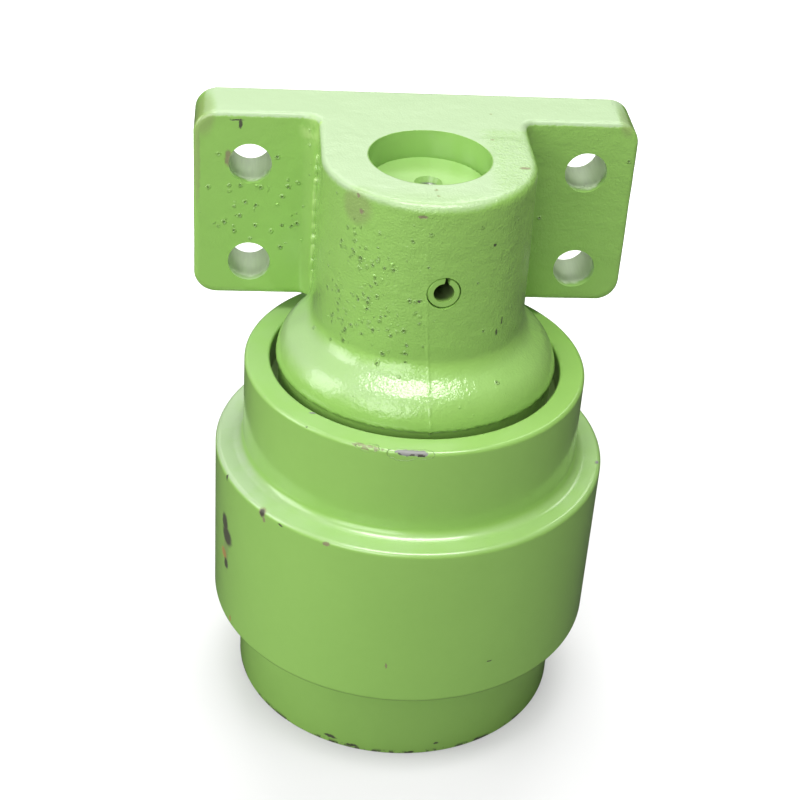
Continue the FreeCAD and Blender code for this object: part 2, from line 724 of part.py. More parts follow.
def end_cover():
    """Dished cover that closes the free end of the shell."""
    radius = COVER_DIAMETER / 2
    hub = COVER_HUB_DIAMETER / 2
    thread = PLUG_THREAD_DIAMETER / 2
    rim = radius - COVER_RIM_WIDTH
    groove_floor = radius - O_RING_SECTION
    groove_foot = cover_groove_middle() - O_RING_GROOVE_WIDTH / 2
    groove_top = cover_groove_middle() + O_RING_GROOVE_WIDTH / 2
    inside = COVER_SEAT_HEIGHT - COVER_DISH_INSIDE
    outside = COVER_FACE + COVER_DISH_OUTSIDE
    dish = COVER_DISH_RADIUS
    return lathe(
        (thread, COVER_FACE),
        (hub, COVER_FACE),
        (hub + COVER_DISH_OUTSIDE, outside),
        (rim - COVER_DISH_OUTSIDE, outside),
        (rim, COVER_FACE),
        (radius, COVER_FACE, END_EDGE_RADIUS),
        (radius, groove_foot),
        (groove_floor, groove_foot),
        (groove_floor, groove_top),
        (radius, groove_top),
        (radius, COVER_SEAT_HEIGHT),
        (rim, COVER_SEAT_HEIGHT),
        (rim, inside, dish),
        (hub, inside, dish),
        (hub, COVER_SEAT_HEIGHT),
        (thread, COVER_SEAT_HEIGHT),
    )


def cover_o_ring():
    """Rubber ring in the rim of the cover."""
    section = O_RING_SECTION / 2
    middle = Vector(0, 0, cover_groove_middle())
    return Part.makeTorus(COVER_DIAMETER / 2 - section, section - FIT_CLEARANCE, middle, AXIS)


def circlip():
    """Sprung ring that holds the cover in, with two lugs for the pliers."""
    foot = COVER_FACE - CIRCLIP_THICKNESS
    outer = COVER_DIAMETER / 2 + CIRCLIP_GROOVE_DEPTH - SLIDE_CLEARANCE
    inner = outer - CIRCLIP_WIDTH
    half_opening = math.radians(CIRCLIP_OPENING_DEG / 2)
    ring = tube(inner, outer, foot, COVER_FACE)
    reach = 2 * outer
    wedge_corners = [
        Vector(0, 0, foot),
        Vector(-reach * math.sin(half_opening), -reach * math.cos(half_opening), foot),
        Vector(reach * math.sin(half_opening), -reach * math.cos(half_opening), foot),
        Vector(0, 0, foot),
    ]
    wedge = Part.Face(Part.makePolygon(wedge_corners)).extrude(AXIS * CIRCLIP_THICKNESS)
    lug_radius = CIRCLIP_LUG_DIAMETER / 2
    lugs = []
    holes = []
    for side in (-1, 1):
        angle = half_opening + math.asin(lug_radius / inner)
        middle = Vector(side * inner * math.sin(angle), -inner * math.cos(angle), foot)
        lugs.append(Part.makeCylinder(lug_radius, CIRCLIP_THICKNESS, middle, AXIS))
        holes.append(Part.makeCylinder(CIRCLIP_LUG_HOLE / 2, CIRCLIP_THICKNESS, middle, AXIS))
    return ring.cut(wedge).fuse(lugs).cut(holes).removeSplitter()


def oil_plug():
    """Filler plug with a hexagon socket in its head."""
    thread = PLUG_THREAD_DIAMETER / 2 - THREAD_CLEARANCE
    head = PLUG_HEAD_DIAMETER / 2
    head_top = COVER_FACE - PLUG_WASHER_THICKNESS
    head_foot = head_top - PLUG_HEAD_THICKNESS
    body = lathe(
        (0, head_foot),
        (head, head_foot, END_EDGE_RADIUS),
        (head, head_top),
        (thread, head_top),
        (thread, COVER_SEAT_HEIGHT),
        (0, COVER_SEAT_HEIGHT),
    )
    corner = PLUG_SOCKET_WIDTH / math.sqrt(3)
    socket_corners = []
    for index in range(7):
        angle = math.radians(60 * index)
        socket_corners.append(Vector(corner * math.cos(angle), corner * math.sin(angle), head_foot))
    socket = Part.Face(Part.makePolygon(socket_corners)).extrude(AXIS * PLUG_SOCKET_DEPTH)
    return body.cut(socket)


def plug_washer():
    """Soft sealing washer under the head of the filler plug."""
    inner = PLUG_THREAD_DIAMETER / 2 + SLIDE_CLEARANCE
    return tube(inner, PLUG_HEAD_DIAMETER / 2, COVER_FACE - PLUG_WASHER_THICKNESS, COVER_FACE)


def all_parts():
    """Every piece of the roller under its node name."""
    parts = {
        "bracket": bracket(),
        "spring_pin": spring_pin(),
        "shaft": shaft(),
        "shaft_o_ring": shaft_o_ring(),
        "roller_shell": roller_shell(),
        "seal_ring_fixed": seal_ring(1),
        "seal_toric_fixed": seal_toric(1),
        "seal_ring_turning": seal_ring(-1),
        "seal_toric_turning": seal_toric(-1),
        "tab_washer": tab_washer(),
        "lock_nut": lock_nut(),
        "end_cover": end_cover(),
        "cover_o_ring": cover_o_ring(),
        "circlip": circlip(),
        "oil_plug": oil_plug(),
        "plug_washer": plug_washer(),
    }
    parts.update(bearing_parts("inner", INNER_BEARING, COLLAR_FOOT, False))
    parts.update(bearing_parts("outer", OUTER_BEARING, OUTER_CONE_BACK, True))
    return parts


os.makedirs("parts", exist_ok=True)
for name, shape in all_parts().items():
    shape.exportStep("parts/" + name + ".step")
    print(name, "solids", len(shape.Solids), "valid", shape.isValid(), "volume", round(shape.Volume, 1))
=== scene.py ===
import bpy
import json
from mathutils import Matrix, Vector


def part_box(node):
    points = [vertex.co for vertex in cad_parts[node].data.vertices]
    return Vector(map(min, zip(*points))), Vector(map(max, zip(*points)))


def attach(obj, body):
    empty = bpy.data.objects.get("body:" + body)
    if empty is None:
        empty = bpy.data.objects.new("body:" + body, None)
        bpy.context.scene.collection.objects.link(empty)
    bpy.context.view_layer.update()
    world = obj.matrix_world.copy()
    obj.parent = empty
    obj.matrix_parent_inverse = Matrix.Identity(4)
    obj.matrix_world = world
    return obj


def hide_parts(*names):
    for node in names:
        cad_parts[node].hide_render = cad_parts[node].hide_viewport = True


bl_info = {
    "name": "Carrier roller",
    "version": (1, 0, 0),
    "blender": (4, 5, 0),
    "location": "3D View > Sidebar > Roller",
    "description": "Green painted carrier roller: a turned shell under a rough cast bracket",
    "category": "Object",
}

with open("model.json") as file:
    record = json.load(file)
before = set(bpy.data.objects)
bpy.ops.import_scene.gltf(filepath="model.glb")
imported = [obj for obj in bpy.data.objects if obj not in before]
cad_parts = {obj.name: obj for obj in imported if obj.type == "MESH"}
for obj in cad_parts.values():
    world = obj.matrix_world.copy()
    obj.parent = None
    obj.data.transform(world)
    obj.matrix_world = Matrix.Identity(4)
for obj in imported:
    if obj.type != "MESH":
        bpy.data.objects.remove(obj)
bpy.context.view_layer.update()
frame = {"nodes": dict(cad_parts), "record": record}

import json
import math
from collections import namedtuple

import bpy
import numpy as np
from bpy.props import FloatProperty, FloatVectorProperty, IntProperty, PointerProperty
from mathutils import Matrix, Vector

MM = 0.001
PHOTO_SIZE = 800

# Places that the construction model fixes
NODES = frame["nodes"]
BRACKET_LOW, BRACKET_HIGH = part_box("bracket")
SHELL_LOW, SHELL_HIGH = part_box("roller_shell")
SHAFT_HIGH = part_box("shaft")[1]
PIN_LOW, PIN_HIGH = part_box("spring_pin")
PIN_LEVEL = (PIN_LOW.z + PIN_HIGH.z) / 2
COVER_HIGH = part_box("end_cover")[1]
TORIC_LOW, TORIC_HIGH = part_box("seal_toric_fixed")
MOUNTS = {mount["name"]: mount for mount in frame["record"]["mounts"]}
BOLT_DIMS = MOUNTS["mounting_bolts"]["dims"]
BOLT_MIDDLE = MOUNTS["mounting_bolts"]["pos_m"]
BOLT_RADIUS = BOLT_DIMS["hole_r_mm"] * MM
BOLT_HALF_X = BOLT_DIMS["spacing_x_mm"] * MM / 2
BOLT_HALF_Z = BOLT_DIMS["spacing_y_mm"] * MM / 2
# Turn of the cross pin about the roller's axis
PIN_LEAN = math.radians(6)
PIN_HOLE_RADIUS = 8.35 * MM
BORE_RADIUS = 30.03 * MM

# Middles and reaches of the casting's coarse patches: boss front left, left plate, bell front
PORE_MIDDLE = (-30 * MM, -44 * MM, 250 * MM)
PORE_PATCHES = (
    (PORE_MIDDLE, (24 * MM, 24 * MM, 36 * MM)),
    ((-80 * MM, 45 * MM, 262 * MM), (30 * MM, 10 * MM, 24 * MM)),
    ((-14 * MM, -60 * MM, 213 * MM), (36 * MM, 19 * MM, 10 * MM)),
)
# Foot and head of the bead between boss and plate on the left, and the lump above it
BEAD_FOOT = (-53.2 * MM, 36.6 * MM, 217 * MM)
BEAD_HEAD = (-52.6 * MM, 36.6 * MM, 289 * MM)
BEAD_LUMP = (-55 * MM, 44 * MM, 301 * MM)
# The parting seam leans a little: its X is SEAM_START + SEAM_LEAN times the height
SEAM_LEAN = -0.069
SEAM_START = 15.8 * MM
# Lengths of a scattered lump with a radius of 1; the last points out of the surface
LUMP_SHAPE = (1.15, 1.0, 0.55)
# A height that only the crests of a noise from 0 to 1 pass
NOISE_CREST = 0.62

# What a mark shows, as the name of a finish setting, and how well it covers the paint
MARK_COVERS = {
    "film": ("stain", 0.34),
    "stain": ("stain", 0.85),
    "steel": ("bare_steel", 1.0),
    "rust": ("rust", 0.9),
    "dark": ("dark_scale_and_shade", 0.95),
}
BARE_ROUGHNESS = 0.6
COAT_IOR = 1.6
# How much pale dust and painted sheen the rim's top face gets in the middle
RIM_DUST_AND_SHEEN = 0.16
WHITE = (1.0, 1.0, 1.0, 1.0)


# Settings that a user would change

class CastingSettings(bpy.types.PropertyGroup):
    """Sizes of the cast bracket and of its rough skin."""

    plate_height: FloatProperty(
        name="Plate height", description="Height of the mounting plate",
        default=102 * MM, unit="LENGTH")
    plate_thickness: FloatProperty(
        name="Plate thickness", description="Thickness of the mounting plate",
        default=31 * MM, unit="LENGTH")
    top_rise: FloatProperty(
        name="Top rise", description="Slope of the top face from the boss to the plate's back",
        default=math.radians(0.7), subtype="ANGLE")
    plate_corner: FloatProperty(
        name="Plate corner", description="Rounding of the plate's outline",
        default=12 * MM, unit="LENGTH")
    plate_edge: FloatProperty(
        name="Plate edge", description="Rounding of the plate's front edge",
        default=2.2 * MM, unit="LENGTH")
    boss_top_width: FloatProperty(
        name="Boss top width", description="Width of the boss at its top",
        default=105 * MM, unit="LENGTH")
    boss_foot_width: FloatProperty(
        name="Boss foot width", description="Width of the boss at the foot of the plate",
        default=107 * MM, unit="LENGTH")
    boss_edge: FloatProperty(
        name="Boss edge", description="Rounding of the boss's top edge on the left",
        default=1.8 * MM, unit="LENGTH")
    boss_edge_right: FloatProperty(
        name="Right boss edge", description="Rounding of the boss's top edge in front and right",
        default=4.5 * MM, unit="LENGTH")
    left_fillet: FloatProperty(
        name="Left fillet", description="Fillet between boss and plate on the left",
        default=8 * MM, unit="LENGTH")
    right_fillet: FloatProperty(
        name="Right fillet", description="Fillet between boss and plate on the right",
        default=5 * MM, unit="LENGTH")
    lip_height: FloatProperty(
        name="Lip height", description="Step at the foot of the bell guard",
        default=1.5 * MM, unit="LENGTH")
    lip_relief: FloatProperty(
        name="Lip relief", description="How far the bell's flank lies inside its lip",
        default=1.5 * MM, unit="LENGTH")
    bell_slope: FloatProperty(
        name="Bell slope", description="Angle of the bell guard from the axis",
        default=math.radians(55), subtype="ANGLE")
    bell_shoulder: FloatProperty(
        name="Bell shoulder", description="Rounding above the lip",
        default=19 * MM, unit="LENGTH")
    bell_neck: FloatProperty(
        name="Bell neck", description="Fillet between bell guard and boss",
        default=12 * MM, unit="LENGTH")
    mesh_step: FloatProperty(
        name="Mesh step", description="Size of the casting's mesh faces",
        default=1.35 * MM, unit="LENGTH")
    swell_height: FloatProperty(
        name="Swell height", description="Height of the slow waves in the cast skin",
        default=0.45 * MM, unit="LENGTH")
    swell_size: FloatProperty(
        name="Swell size", description="Length of the slow waves in the cast skin",
        default=26 * MM, unit="LENGTH")
    grain_height: FloatProperty(
        name="Grain height", description="Height of the sand grain in the cast skin",
        default=0.3 * MM, unit="LENGTH")
    grain_size: FloatProperty(
        name="Grain size", description="Length of the sand grain in the cast skin",
        default=5 * MM, unit="LENGTH")
    lump_size: FloatProperty(
        name="Lump size", description="Radius of the largest lumps on the cast skin",
        default=0.95 * MM, unit="LENGTH")
    seed: IntProperty(name="Seed", description="Seed of the scattered lumps", default=7)


class ShellSettings(bpy.types.PropertyGroup):
    """Sizes of the turned roller shell."""

    rim_diameter: FloatProperty(
        name="Rim diameter", description="Diameter of both rims",
        default=176 * MM, unit="LENGTH")
    tread_foot: FloatProperty(
        name="Tread foot", description="Height of the tread's lower face",
        default=50 * MM, unit="LENGTH")
    tread_head: FloatProperty(
        name="Tread head", description="Height of the tread's upper face",
        default=145.5 * MM, unit="LENGTH")
    tread_edge: FloatProperty(
        name="Tread edge", description="Rounding of the tread's edges",
        default=2.5 * MM, unit="LENGTH")
    rim_edge: FloatProperty(
        name="Rim edge", description="Rounding of the upper rim's edge",
        default=2 * MM, unit="LENGTH")
    rim_cove: FloatProperty(
        name="Rim cove", description="Fillet between the upper rim and the tread",
        default=5.5 * MM, unit="LENGTH")
    under_cove: FloatProperty(
        name="Lower cove", description="Fillet between the lower rim and the tread",
        default=3 * MM, unit="LENGTH")
    small_edge: FloatProperty(
        name="Small edge", description="Rounding of the end face and of the bores",
        default=1 * MM, unit="LENGTH")
    guard_bore: FloatProperty(
        name="Guard bore", description="Bore around the bell guard",
        default=150 * MM, unit="LENGTH")
    guard_edge: FloatProperty(
        name="Guard edge", description="Rounding at the mouth of the guard bore",
        default=1.4 * MM, unit="LENGTH")
    steps: IntProperty(name="Steps", description="Faces around the shell", default=360)


class FinishSettings(bpy.types.PropertyGroup):
    """Colours of the paint and of what shows where it is gone."""

    paint: FloatVectorProperty(
        name="Paint", description="Light green paint", subtype="COLOR",
        default=(0.295, 0.545, 0.114), min=0, max=1)
    paint_shade: FloatVectorProperty(
        name="Paint shade", description="Paint in hollows and thin places", subtype="COLOR",
        default=(0.23, 0.45, 0.082), min=0, max=1)
    # Pale dust and painted sheen: this colour also stands in for the light that up-facing faces
    # catch.
    chalky_paint_and_sheen: FloatVectorProperty(
        name="Chalky paint", description="Pale dusty paint on faces that look up",
        subtype="COLOR", default=(0.405, 0.55, 0.31), min=0, max=1)
    # Pale bead paint and painted highlight: this colour also stands in for highlights on the bead.
    thick_paint_and_highlight: FloatVectorProperty(
        name="Thick paint", description="Pale paint that has run along the weld-like bead",
        subtype="COLOR", default=(0.43, 0.66, 0.20), min=0, max=1)
    bare_steel: FloatVectorProperty(
        name="Bare steel", description="Steel where the paint has flaked off", subtype="COLOR",
        default=(0.29, 0.29, 0.275), min=0, max=1)
    stain: FloatVectorProperty(
        name="Stain", description="Brown film where the paint is rubbed thin", subtype="COLOR",
        default=(0.235, 0.185, 0.12), min=0, max=1)
    # Used for dark scale and dirt in chips, and also as painted shade in pores, gaps, under the
    # tread and inside the pin.
    dark_scale_and_shade: FloatVectorProperty(
        name="Dark scale", description="Dark mill scale and dirt in old chips", subtype="COLOR",
        default=(0.065, 0.06, 0.045), min=0, max=1)
    rust: FloatVectorProperty(
        name="Rust", description="Fresh orange rust", subtype="COLOR",
        default=(0.38, 0.20, 0.065), min=0, max=1)
    # Painted light: this steel colour is made paler to stand in for light on the hole walls.
    drilled_steel_and_painted_light: FloatVectorProperty(
        name="Drilled steel", description="Walls of the drilled bolt holes", subtype="COLOR",
        default=(0.67, 0.79, 0.56), min=0, max=1)
    paint_roughness: FloatProperty(
        name="Paint roughness", description="Roughness of the paint film",
        default=0.42, min=0, max=1, subtype="FACTOR")
    gloss: FloatProperty(
        name="Gloss", description="Weight of the paint's glossy top film",
        default=0.84, min=0, max=1, subtype="FACTOR")


class StudioSettings(bpy.types.PropertyGroup):
    """Camera and light."""

    camera_place: FloatVectorProperty(
        name="Camera place", description="Where the camera stands", subtype="TRANSLATION",
        default=(-0.085453, -0.758006, 0.656230))
    camera_heading: FloatProperty(
        name="Camera heading", description="Turn of the view from +Y towards +X",
        default=0.104179, subtype="ANGLE")
    camera_dip: FloatProperty(
        name="Camera dip", description="How far the view looks down",
        default=0.569008, subtype="ANGLE")
    camera_roll: FloatProperty(
        name="Camera roll", description="Roll of the camera about its view",
        default=-0.072092, subtype="ANGLE")
    focal_pixels: FloatProperty(
        name="Focal length", description="Focal length in pixels of the square frame",
        default=1721.671)
    world_level: FloatProperty(
        name="World level", description="Strength of the plain light from all round",
        default=0.24, min=0)
    mirror_level: FloatProperty(
        name="Mirrored level", description="Strength of the surroundings in reflections",
        default=0.06, min=0)
    key_power: FloatProperty(
        name="Key power", description="Power of the main lamp in watts",
        default=22.0, min=0)
    side_power: FloatProperty(
        name="Side power", description="Power of the lamp on the left in watts",
        default=12.0, min=0)
    top_power: FloatProperty(
        name="Top power", description="Power of the overhead lamp in watts",
        default=31.0, min=0)
    back_power: FloatProperty(
        name="Back power", description="Power of the bright panel behind the object in watts",
        default=9.5, min=0)
    floor_power: FloatProperty(
        name="Floor power", description="Power of the lamp that throws the shadow forwards",
        default=22.0, min=0)
    floor_glow: FloatProperty(
        name="Floor glow", description="Share of the floor's white that no lamp gives",
        default=0.37, min=0)


# Node trees

class Wire:
    """A node's output. Arithmetic on it places a Math node on the same sheet."""

    def __init__(self, sheet, socket):
        self.sheet = sheet
        self.socket = socket

    def __add__(self, other):
        return self.sheet.math("ADD", self, other)

    def __sub__(self, other):
        return self.sheet.math("SUBTRACT", self, other)

    def __rsub__(self, other):
        return self.sheet.math("SUBTRACT", other, self)

    def __mul__(self, other):
        return self.sheet.math("MULTIPLY", self, other)

    def __truediv__(self, other):
        return self.sheet.math("DIVIDE", self, other)

    def __rtruediv__(self, other):
        return self.sheet.math("DIVIDE", other, self)

    def __lt__(self, other):
        return self.sheet.math("LESS_THAN", self, other)

    def __gt__(self, other):
        return self.sheet.math("GREATER_THAN", self, other)

    def __abs__(self):
        return self.sheet.math("ABSOLUTE", self)


class Sheet:
    """A node tree with short calls for placing and joining nodes."""

    def __init__(self, tree):
        self.tree = tree

    def add(self, kind, inputs=None, **settings):
        """Places a node with its settings and feeds its inputs, by name or by number."""
        node = self.tree.nodes.new(kind)
        for name, value in settings.items():
            setattr(node, name, value)
        self.fill(node, inputs or {})
        return node

    def get(self, kind, inputs=None, output=0, **settings):
        """Places a node and gives one of its outputs."""
        return Wire(self, self.add(kind, inputs, **settings).outputs[output])

    def wires(self, node):
        """A node's outputs by name."""
        return {socket.name: Wire(self, socket) for socket in node.outputs}

    def fill(self, node, inputs):
        """Feeds several inputs of a node."""
        for name, value in inputs.items():
            self.feed(node.inputs[name], value)

    def feed(self, socket, value):
        """Joins an output to an input, or sets the input's own number, vector or colour."""
        if isinstance(value, Wire):
            self.tree.links.new(value.socket, socket)
        else:
            socket.default_value = value

    def math(self, operation, *values, clamp=False):
        """One sum on numbers or outputs."""
        return self.get("ShaderNodeMath", dict(enumerate(values)), operation=operation,
                        use_clamp=clamp)

    def larger(self, first, second):
        """The larger of two numbers."""
        return self.math("MAXIMUM", first, second)

    def times_plus(self, value, factor, base):
        """A value times a factor, plus a base."""
        return self.math("MULTIPLY_ADD", value, factor, base)

    def vector(self, operation, *values):
        """One sum on vectors."""
        return self.get("ShaderNodeVectorMath", dict(enumerate(values)), operation=operation)

    def length(self, vector):
        """The length of a vector."""
        return self.get("ShaderNodeVectorMath", {0: vector}, "Value", operation="LENGTH")

    def scaled(self, vector, factor):
        """A vector times a number."""
        return self.get("ShaderNodeVectorMath", {"Scale": factor, 0: vector}, operation="SCALE")

    def split(self, vector):
        """The X, Y and Z of a vector."""
        return self.wires(self.add("ShaderNodeSeparateXYZ", {"Vector": vector})).values()

    def joined(self, x, y, z):
        """The vector with a given X, Y and Z."""
        return self.get("ShaderNodeCombineXYZ", {"X": x, "Y": y, "Z": z})

    def across(self, x, y):
        """How far a point is from the origin, by two of its coordinates."""
        return self.length(self.joined(x, y, 0.0))

    def fade(self, value, start, end, low=0.0, high=1.0):
        """Smooth step from low at start to high at end."""
        return self.get("ShaderNodeMapRange", {
            "Value": value, "From Min": start, "From Max": end, "To Min": low, "To Max": high,
        }, "Result", interpolation_type="SMOOTHSTEP")

    def blend(self, factor, first, second):
        """Mix of two colours."""
        return self.get("ShaderNodeMix", {0: factor, 6: first, 7: second}, 2, data_type="RGBA")

    def between(self, factor, first, second):
        """Mix of two numbers."""
        return self.get("ShaderNodeMix", {0: factor, 2: first, 3: second}, data_type="FLOAT")

    def noise(self, position, size, detail=2.0, roughness=0.5, output="Fac"):
        """Noise from 0 to 1 whose features have the given size in metres."""
        coarse = self.math("DIVIDE", 1.0, size)
        return self.get("ShaderNodeTexNoise", {
            "Vector": position, "Scale": coarse, "Detail": detail, "Roughness": roughness,
        }, output)

    def group(self, name, **inputs):
        """Places a shader group; its inputs' names have a space for each underscore."""
        node = self.add("ShaderNodeGroup", node_tree=bpy.data.node_groups[name])
        self.fill(node, {label.replace("_", " ").title(): inputs[label] for label in inputs})
        return self.wires(node)


def colour(values):
    """A colour property as a node socket takes it."""
    return (*values, 1.0)


def new_socket(tree, label, in_out, value):
    """A tree's socket from its default value, or from its type's name where it has none."""
    if isinstance(value, str):
        tree.interface.new_socket(label, in_out=in_out, socket_type="NodeSocket" + value)
        return
    kind = {float: "Float", int: "Int", tuple: "Vector"}[type(value)]
    if kind == "Vector" and len(value) == 4:
        kind = "Color"
    socket = tree.interface.new_socket(label, in_out=in_out, socket_type="NodeSocket" + kind)
    socket.default_value = value


def new_tree(name, kind, inputs, outputs):
    """A node group with named sockets: its sheet, its inputs' wires and its output node."""
    tree = bpy.data.node_groups.new(name, kind)
    for label, value in inputs.items():
        new_socket(tree, label, "INPUT", value)
    for label, value in outputs.items():
        new_socket(tree, label, "OUTPUT", value)
    sheet = Sheet(tree)
    return sheet, sheet.wires(sheet.add("NodeGroupInput")), sheet.add("NodeGroupOutput")


def geometry_tree(name, inputs):
    """A Geometry Nodes tree with a geometry and a material in, and a geometry out."""
    inputs = {"Geometry": "Geometry", **inputs, "Material": "Material"}
    sheet, given, result = new_tree(name, "GeometryNodeTree", inputs, {"Geometry": "Geometry"})
    sheet.tree.is_modifier = True
    return sheet, given, result


def close_tree(sheet, geometry, material, result):
    """The ending that each Geometry Nodes tree has."""
    real = sheet.get("GeometryNodeRealizeInstances", {"Geometry": geometry})
    coated = sheet.get("GeometryNodeSetMaterial", {"Geometry": real, "Material": material})
    sheet.fill(result, {"Geometry": coated})
    return sheet.tree


def add_tree(piece, tree, values):
    """Puts a Geometry Nodes tree on a piece, with its inputs set by their identifiers."""
    modifier = piece.modifiers.new(tree.name, "NODES")
    modifier.node_group = tree
    for item in tree.interface.items_tree:
        if item.item_type == "SOCKET" and item.in_out == "INPUT" and item.name in values:
            modifier[item.identifier] = values[item.name]


def new_piece(name, data):
    """An object at the origin that shows a mesh, or that is a lamp or camera."""
    piece = bpy.data.objects.new(name, data)
    bpy.context.scene.collection.objects.link(piece)
    return piece


def plain_mesh(piece):
    """Applies all modifiers of a piece by way of its evaluated mesh."""
    bpy.context.view_layer.update()
    evaluated = piece.evaluated_get(bpy.context.evaluated_depsgraph_get())
    mesh = bpy.data.meshes.new_from_object(evaluated)
    mesh.name = piece.name
    piece.modifiers.clear()
    piece.data = mesh


def smooth_shaded(piece, sharp_angle):
    """Smooth faces with hard edges where two faces meet at more than an angle."""
    piece.data.shade_smooth()
    piece.data.set_sharp_from_angle(angle=sharp_angle)


# Cast bracket: a distance field, its surface, its skin and its drilled holes

SMALL_ROUNDING = 1 * MM
MACHINED_EDGE = 0.8 * MM
# How far in front of the plate its edge's rounding comes in, as a share of its thickness
EDGE_BLEND = 0.3
# Where the boss's top edge goes over from its left to its right rounding, in boss widths
EDGE_CHANGE = (-0.25, -0.02)
# How much of the neck's fillet is gone where the bell runs into the plate
NECK_LOSS = 0.7


def rounded_steps(first, second, radius):
    """Shared part of the two round blends of distance fields."""
    return np.hypot(np.maximum(first, 0), np.maximum(second, 0)) - radius


def round_meet(first, second, radius):
    """Where both shapes overlap, with a convex rounding along their edge."""
    inner = np.minimum(np.maximum(first, second), -radius)
    return inner + rounded_steps(first + radius, second + radius, 0)


def round_join(first, second, radius):
    """Both shapes together, with a concave fillet along their seam."""
    outer = np.maximum(np.minimum(first, second), radius)
    return outer - rounded_steps(radius - first, radius - second, 0)


def smooth_step(value, start, end):
    """0 below start, 1 above end, smooth between."""
    share = np.clip((value - start) / (end - start), 0, 1)
    return share * share * (3 - 2 * share)


def blend_reach(radius, turn):
    """Reach of a round blend that gives a radius where two faces turn by an angle."""
    return radius * math.tan(turn / 2) * math.sin(turn)


def casting_distance(x, y, z, sizes):
    """Signed distance in metres to the bracket before it is drilled."""
    rise = math.tan(sizes.top_rise)
    top = BRACKET_HIGH.z - (BRACKET_HIGH.y - y) * rise
    boss_top = BRACKET_HIGH.z - (BRACKET_HIGH.y + sizes.boss_top_width / 2) * rise
    plate_foot = boss_top - sizes.plate_height
    plate_front = BRACKET_HIGH.y - sizes.plate_thickness
    share = (boss_top - z) / sizes.plate_height
    boss_half = (sizes.boss_top_width + (sizes.boss_foot_width - sizes.boss_top_width) * share) / 2
    boss = np.where(y < 0, np.hypot(x, y), np.abs(x)) - boss_half
    fillet = np.where(x < 0, sizes.left_fillet, sizes.right_fillet)
    plan = round_join(plate_front - y, boss, fillet)

    corner = sizes.plate_corner
    across = np.abs(x - (BRACKET_HIGH.x + BRACKET_LOW.x) / 2)
    across = across - ((BRACKET_HIGH.x - BRACKET_LOW.x) / 2 - corner)
    upright = np.abs(z - (top + plate_foot) / 2) - ((top - plate_foot) / 2 - corner)
    outline = rounded_steps(across, upright, corner) + np.minimum(np.maximum(across, upright), 0)
    on_plate = smooth_step(y, plate_front - EDGE_BLEND * sizes.plate_thickness, plate_front)
    start, end = np.array(EDGE_CHANGE) * sizes.boss_top_width
    on_right = smooth_step(x, start, end)
    boss_edge = sizes.boss_edge + (sizes.boss_edge_right - sizes.boss_edge) * on_right
    edge = boss_edge + (sizes.plate_edge - boss_edge) * on_plate
    head = round_meet(plan, outline, edge)

    radius = np.hypot(x, y)
    lip = -BRACKET_LOW.y
    lip_foot = SHELL_HIGH.z + sizes.lip_height / 2
    slope = sizes.bell_slope
    shoulder = SHELL_HIGH.z + sizes.lip_height + sizes.bell_shoulder * math.tan(slope / 2)
    cone = (radius - lip) * math.cos(slope) + (z - shoulder) * math.sin(slope)
    bell = round_meet(radius - lip, cone, blend_reach(sizes.bell_shoulder, slope))
    bell = round_meet(bell, lip_foot - z, SMALL_ROUNDING)
    flank = round_meet(radius - (lip - sizes.lip_relief), BRACKET_LOW.z - z, SMALL_ROUNDING)
    bell = np.minimum(bell, np.maximum(flank, z - lip_foot - sizes.lip_relief))
    under_plate = smooth_step(y, 0.5 * plate_front, plate_front)
    neck = blend_reach(sizes.bell_neck, slope) * (1 - NECK_LOSS * under_plate)
    casting = round_join(head, bell, neck)
    return round_meet(casting, y - BRACKET_HIGH.y, MACHINED_EDGE)


def level_surface(field, low, step):
    """Points and quads of the zero level of a field on a regular grid."""
    shape = np.array(field.shape)
    strides = np.array([shape[1] * shape[2], shape[2], 1])
    crossings, rings = [], []
    for axis in range(3):
        ahead = np.roll(field, -1, axis)
        crossed = (field < 0) != (ahead < 0)
        spots = np.argwhere(crossed)
        here = field[crossed]
        share = here / (here - ahead[crossed])
        place = spots.astype(float)
        place[:, axis] += share
        side, other = strides[(axis + 1) % 3], strides[(axis + 2) % 3]
        corner = spots @ strides
        ring = np.stack([corner, corner - side, corner - side - other, corner - other], 1)
        outward = here < 0
        ring[~outward] = ring[~outward][:, ::-1]
        crossings.append(np.repeat(place, 4, 0))
        rings.append(ring)
    rings = np.concatenate(rings)
    crossings = np.concatenate(crossings)
    lookup = np.unique(rings.ravel(), return_inverse=True)[1]
    count = np.bincount(lookup)
    middles = [np.bincount(lookup, crossings[:, axis]) / count for axis in range(3)]
    return low + np.stack(middles, 1) * step, lookup.reshape(-1, 4)


def drawn_to_surface(points, sizes, rounds=3, reach=0.02 * MM, least_slope=0.3, pull=0.9):
    """Moves points along the field's slope until they lie on its surface."""
    for _ in range(rounds):
        x, y, z = points.T
        distance = casting_distance(x, y, z, sizes)
        slope = np.stack([
            casting_distance(x + reach, y, z, sizes) - distance,
            casting_distance(x, y + reach, z, sizes) - distance,
            casting_distance(x, y, z + reach, sizes) - distance,
        ], 1) / reach
        length = np.maximum(np.linalg.norm(slope, axis=1, keepdims=True), least_slope)
        points = points - slope / length ** 2 * distance[:, None] * pull
    return points


def mesh_from(name, points, faces, edges=()):
    """A mesh from lists of points and of faces or edges."""
    mesh = bpy.data.meshes.new(name)
    mesh.from_pydata(points, list(edges), faces)
    mesh.update()
    return mesh


def turned_mesh(name, outline, steps):
    """A closed mesh turned about the axis from (radius, height) corners on a closed outline."""
    outline = np.array(outline)
    angles = np.arange(steps) * (2 * math.pi / steps)
    radius = outline[:, 0][:, None]
    points = np.stack([
        radius * np.cos(angles),
        radius * np.sin(angles),
        np.repeat(outline[:, 1][:, None], steps, 1),
    ], -1).reshape(-1, 3)
    index = np.arange(len(points)).reshape(len(outline), steps)
    following = np.roll(index, -1, 0)
    faces = np.stack([
        index, np.roll(index, -1, 1), np.roll(following, -1, 1), following], -1)
    return mesh_from(name, points.tolist(), faces.reshape(-1, 4).tolist())


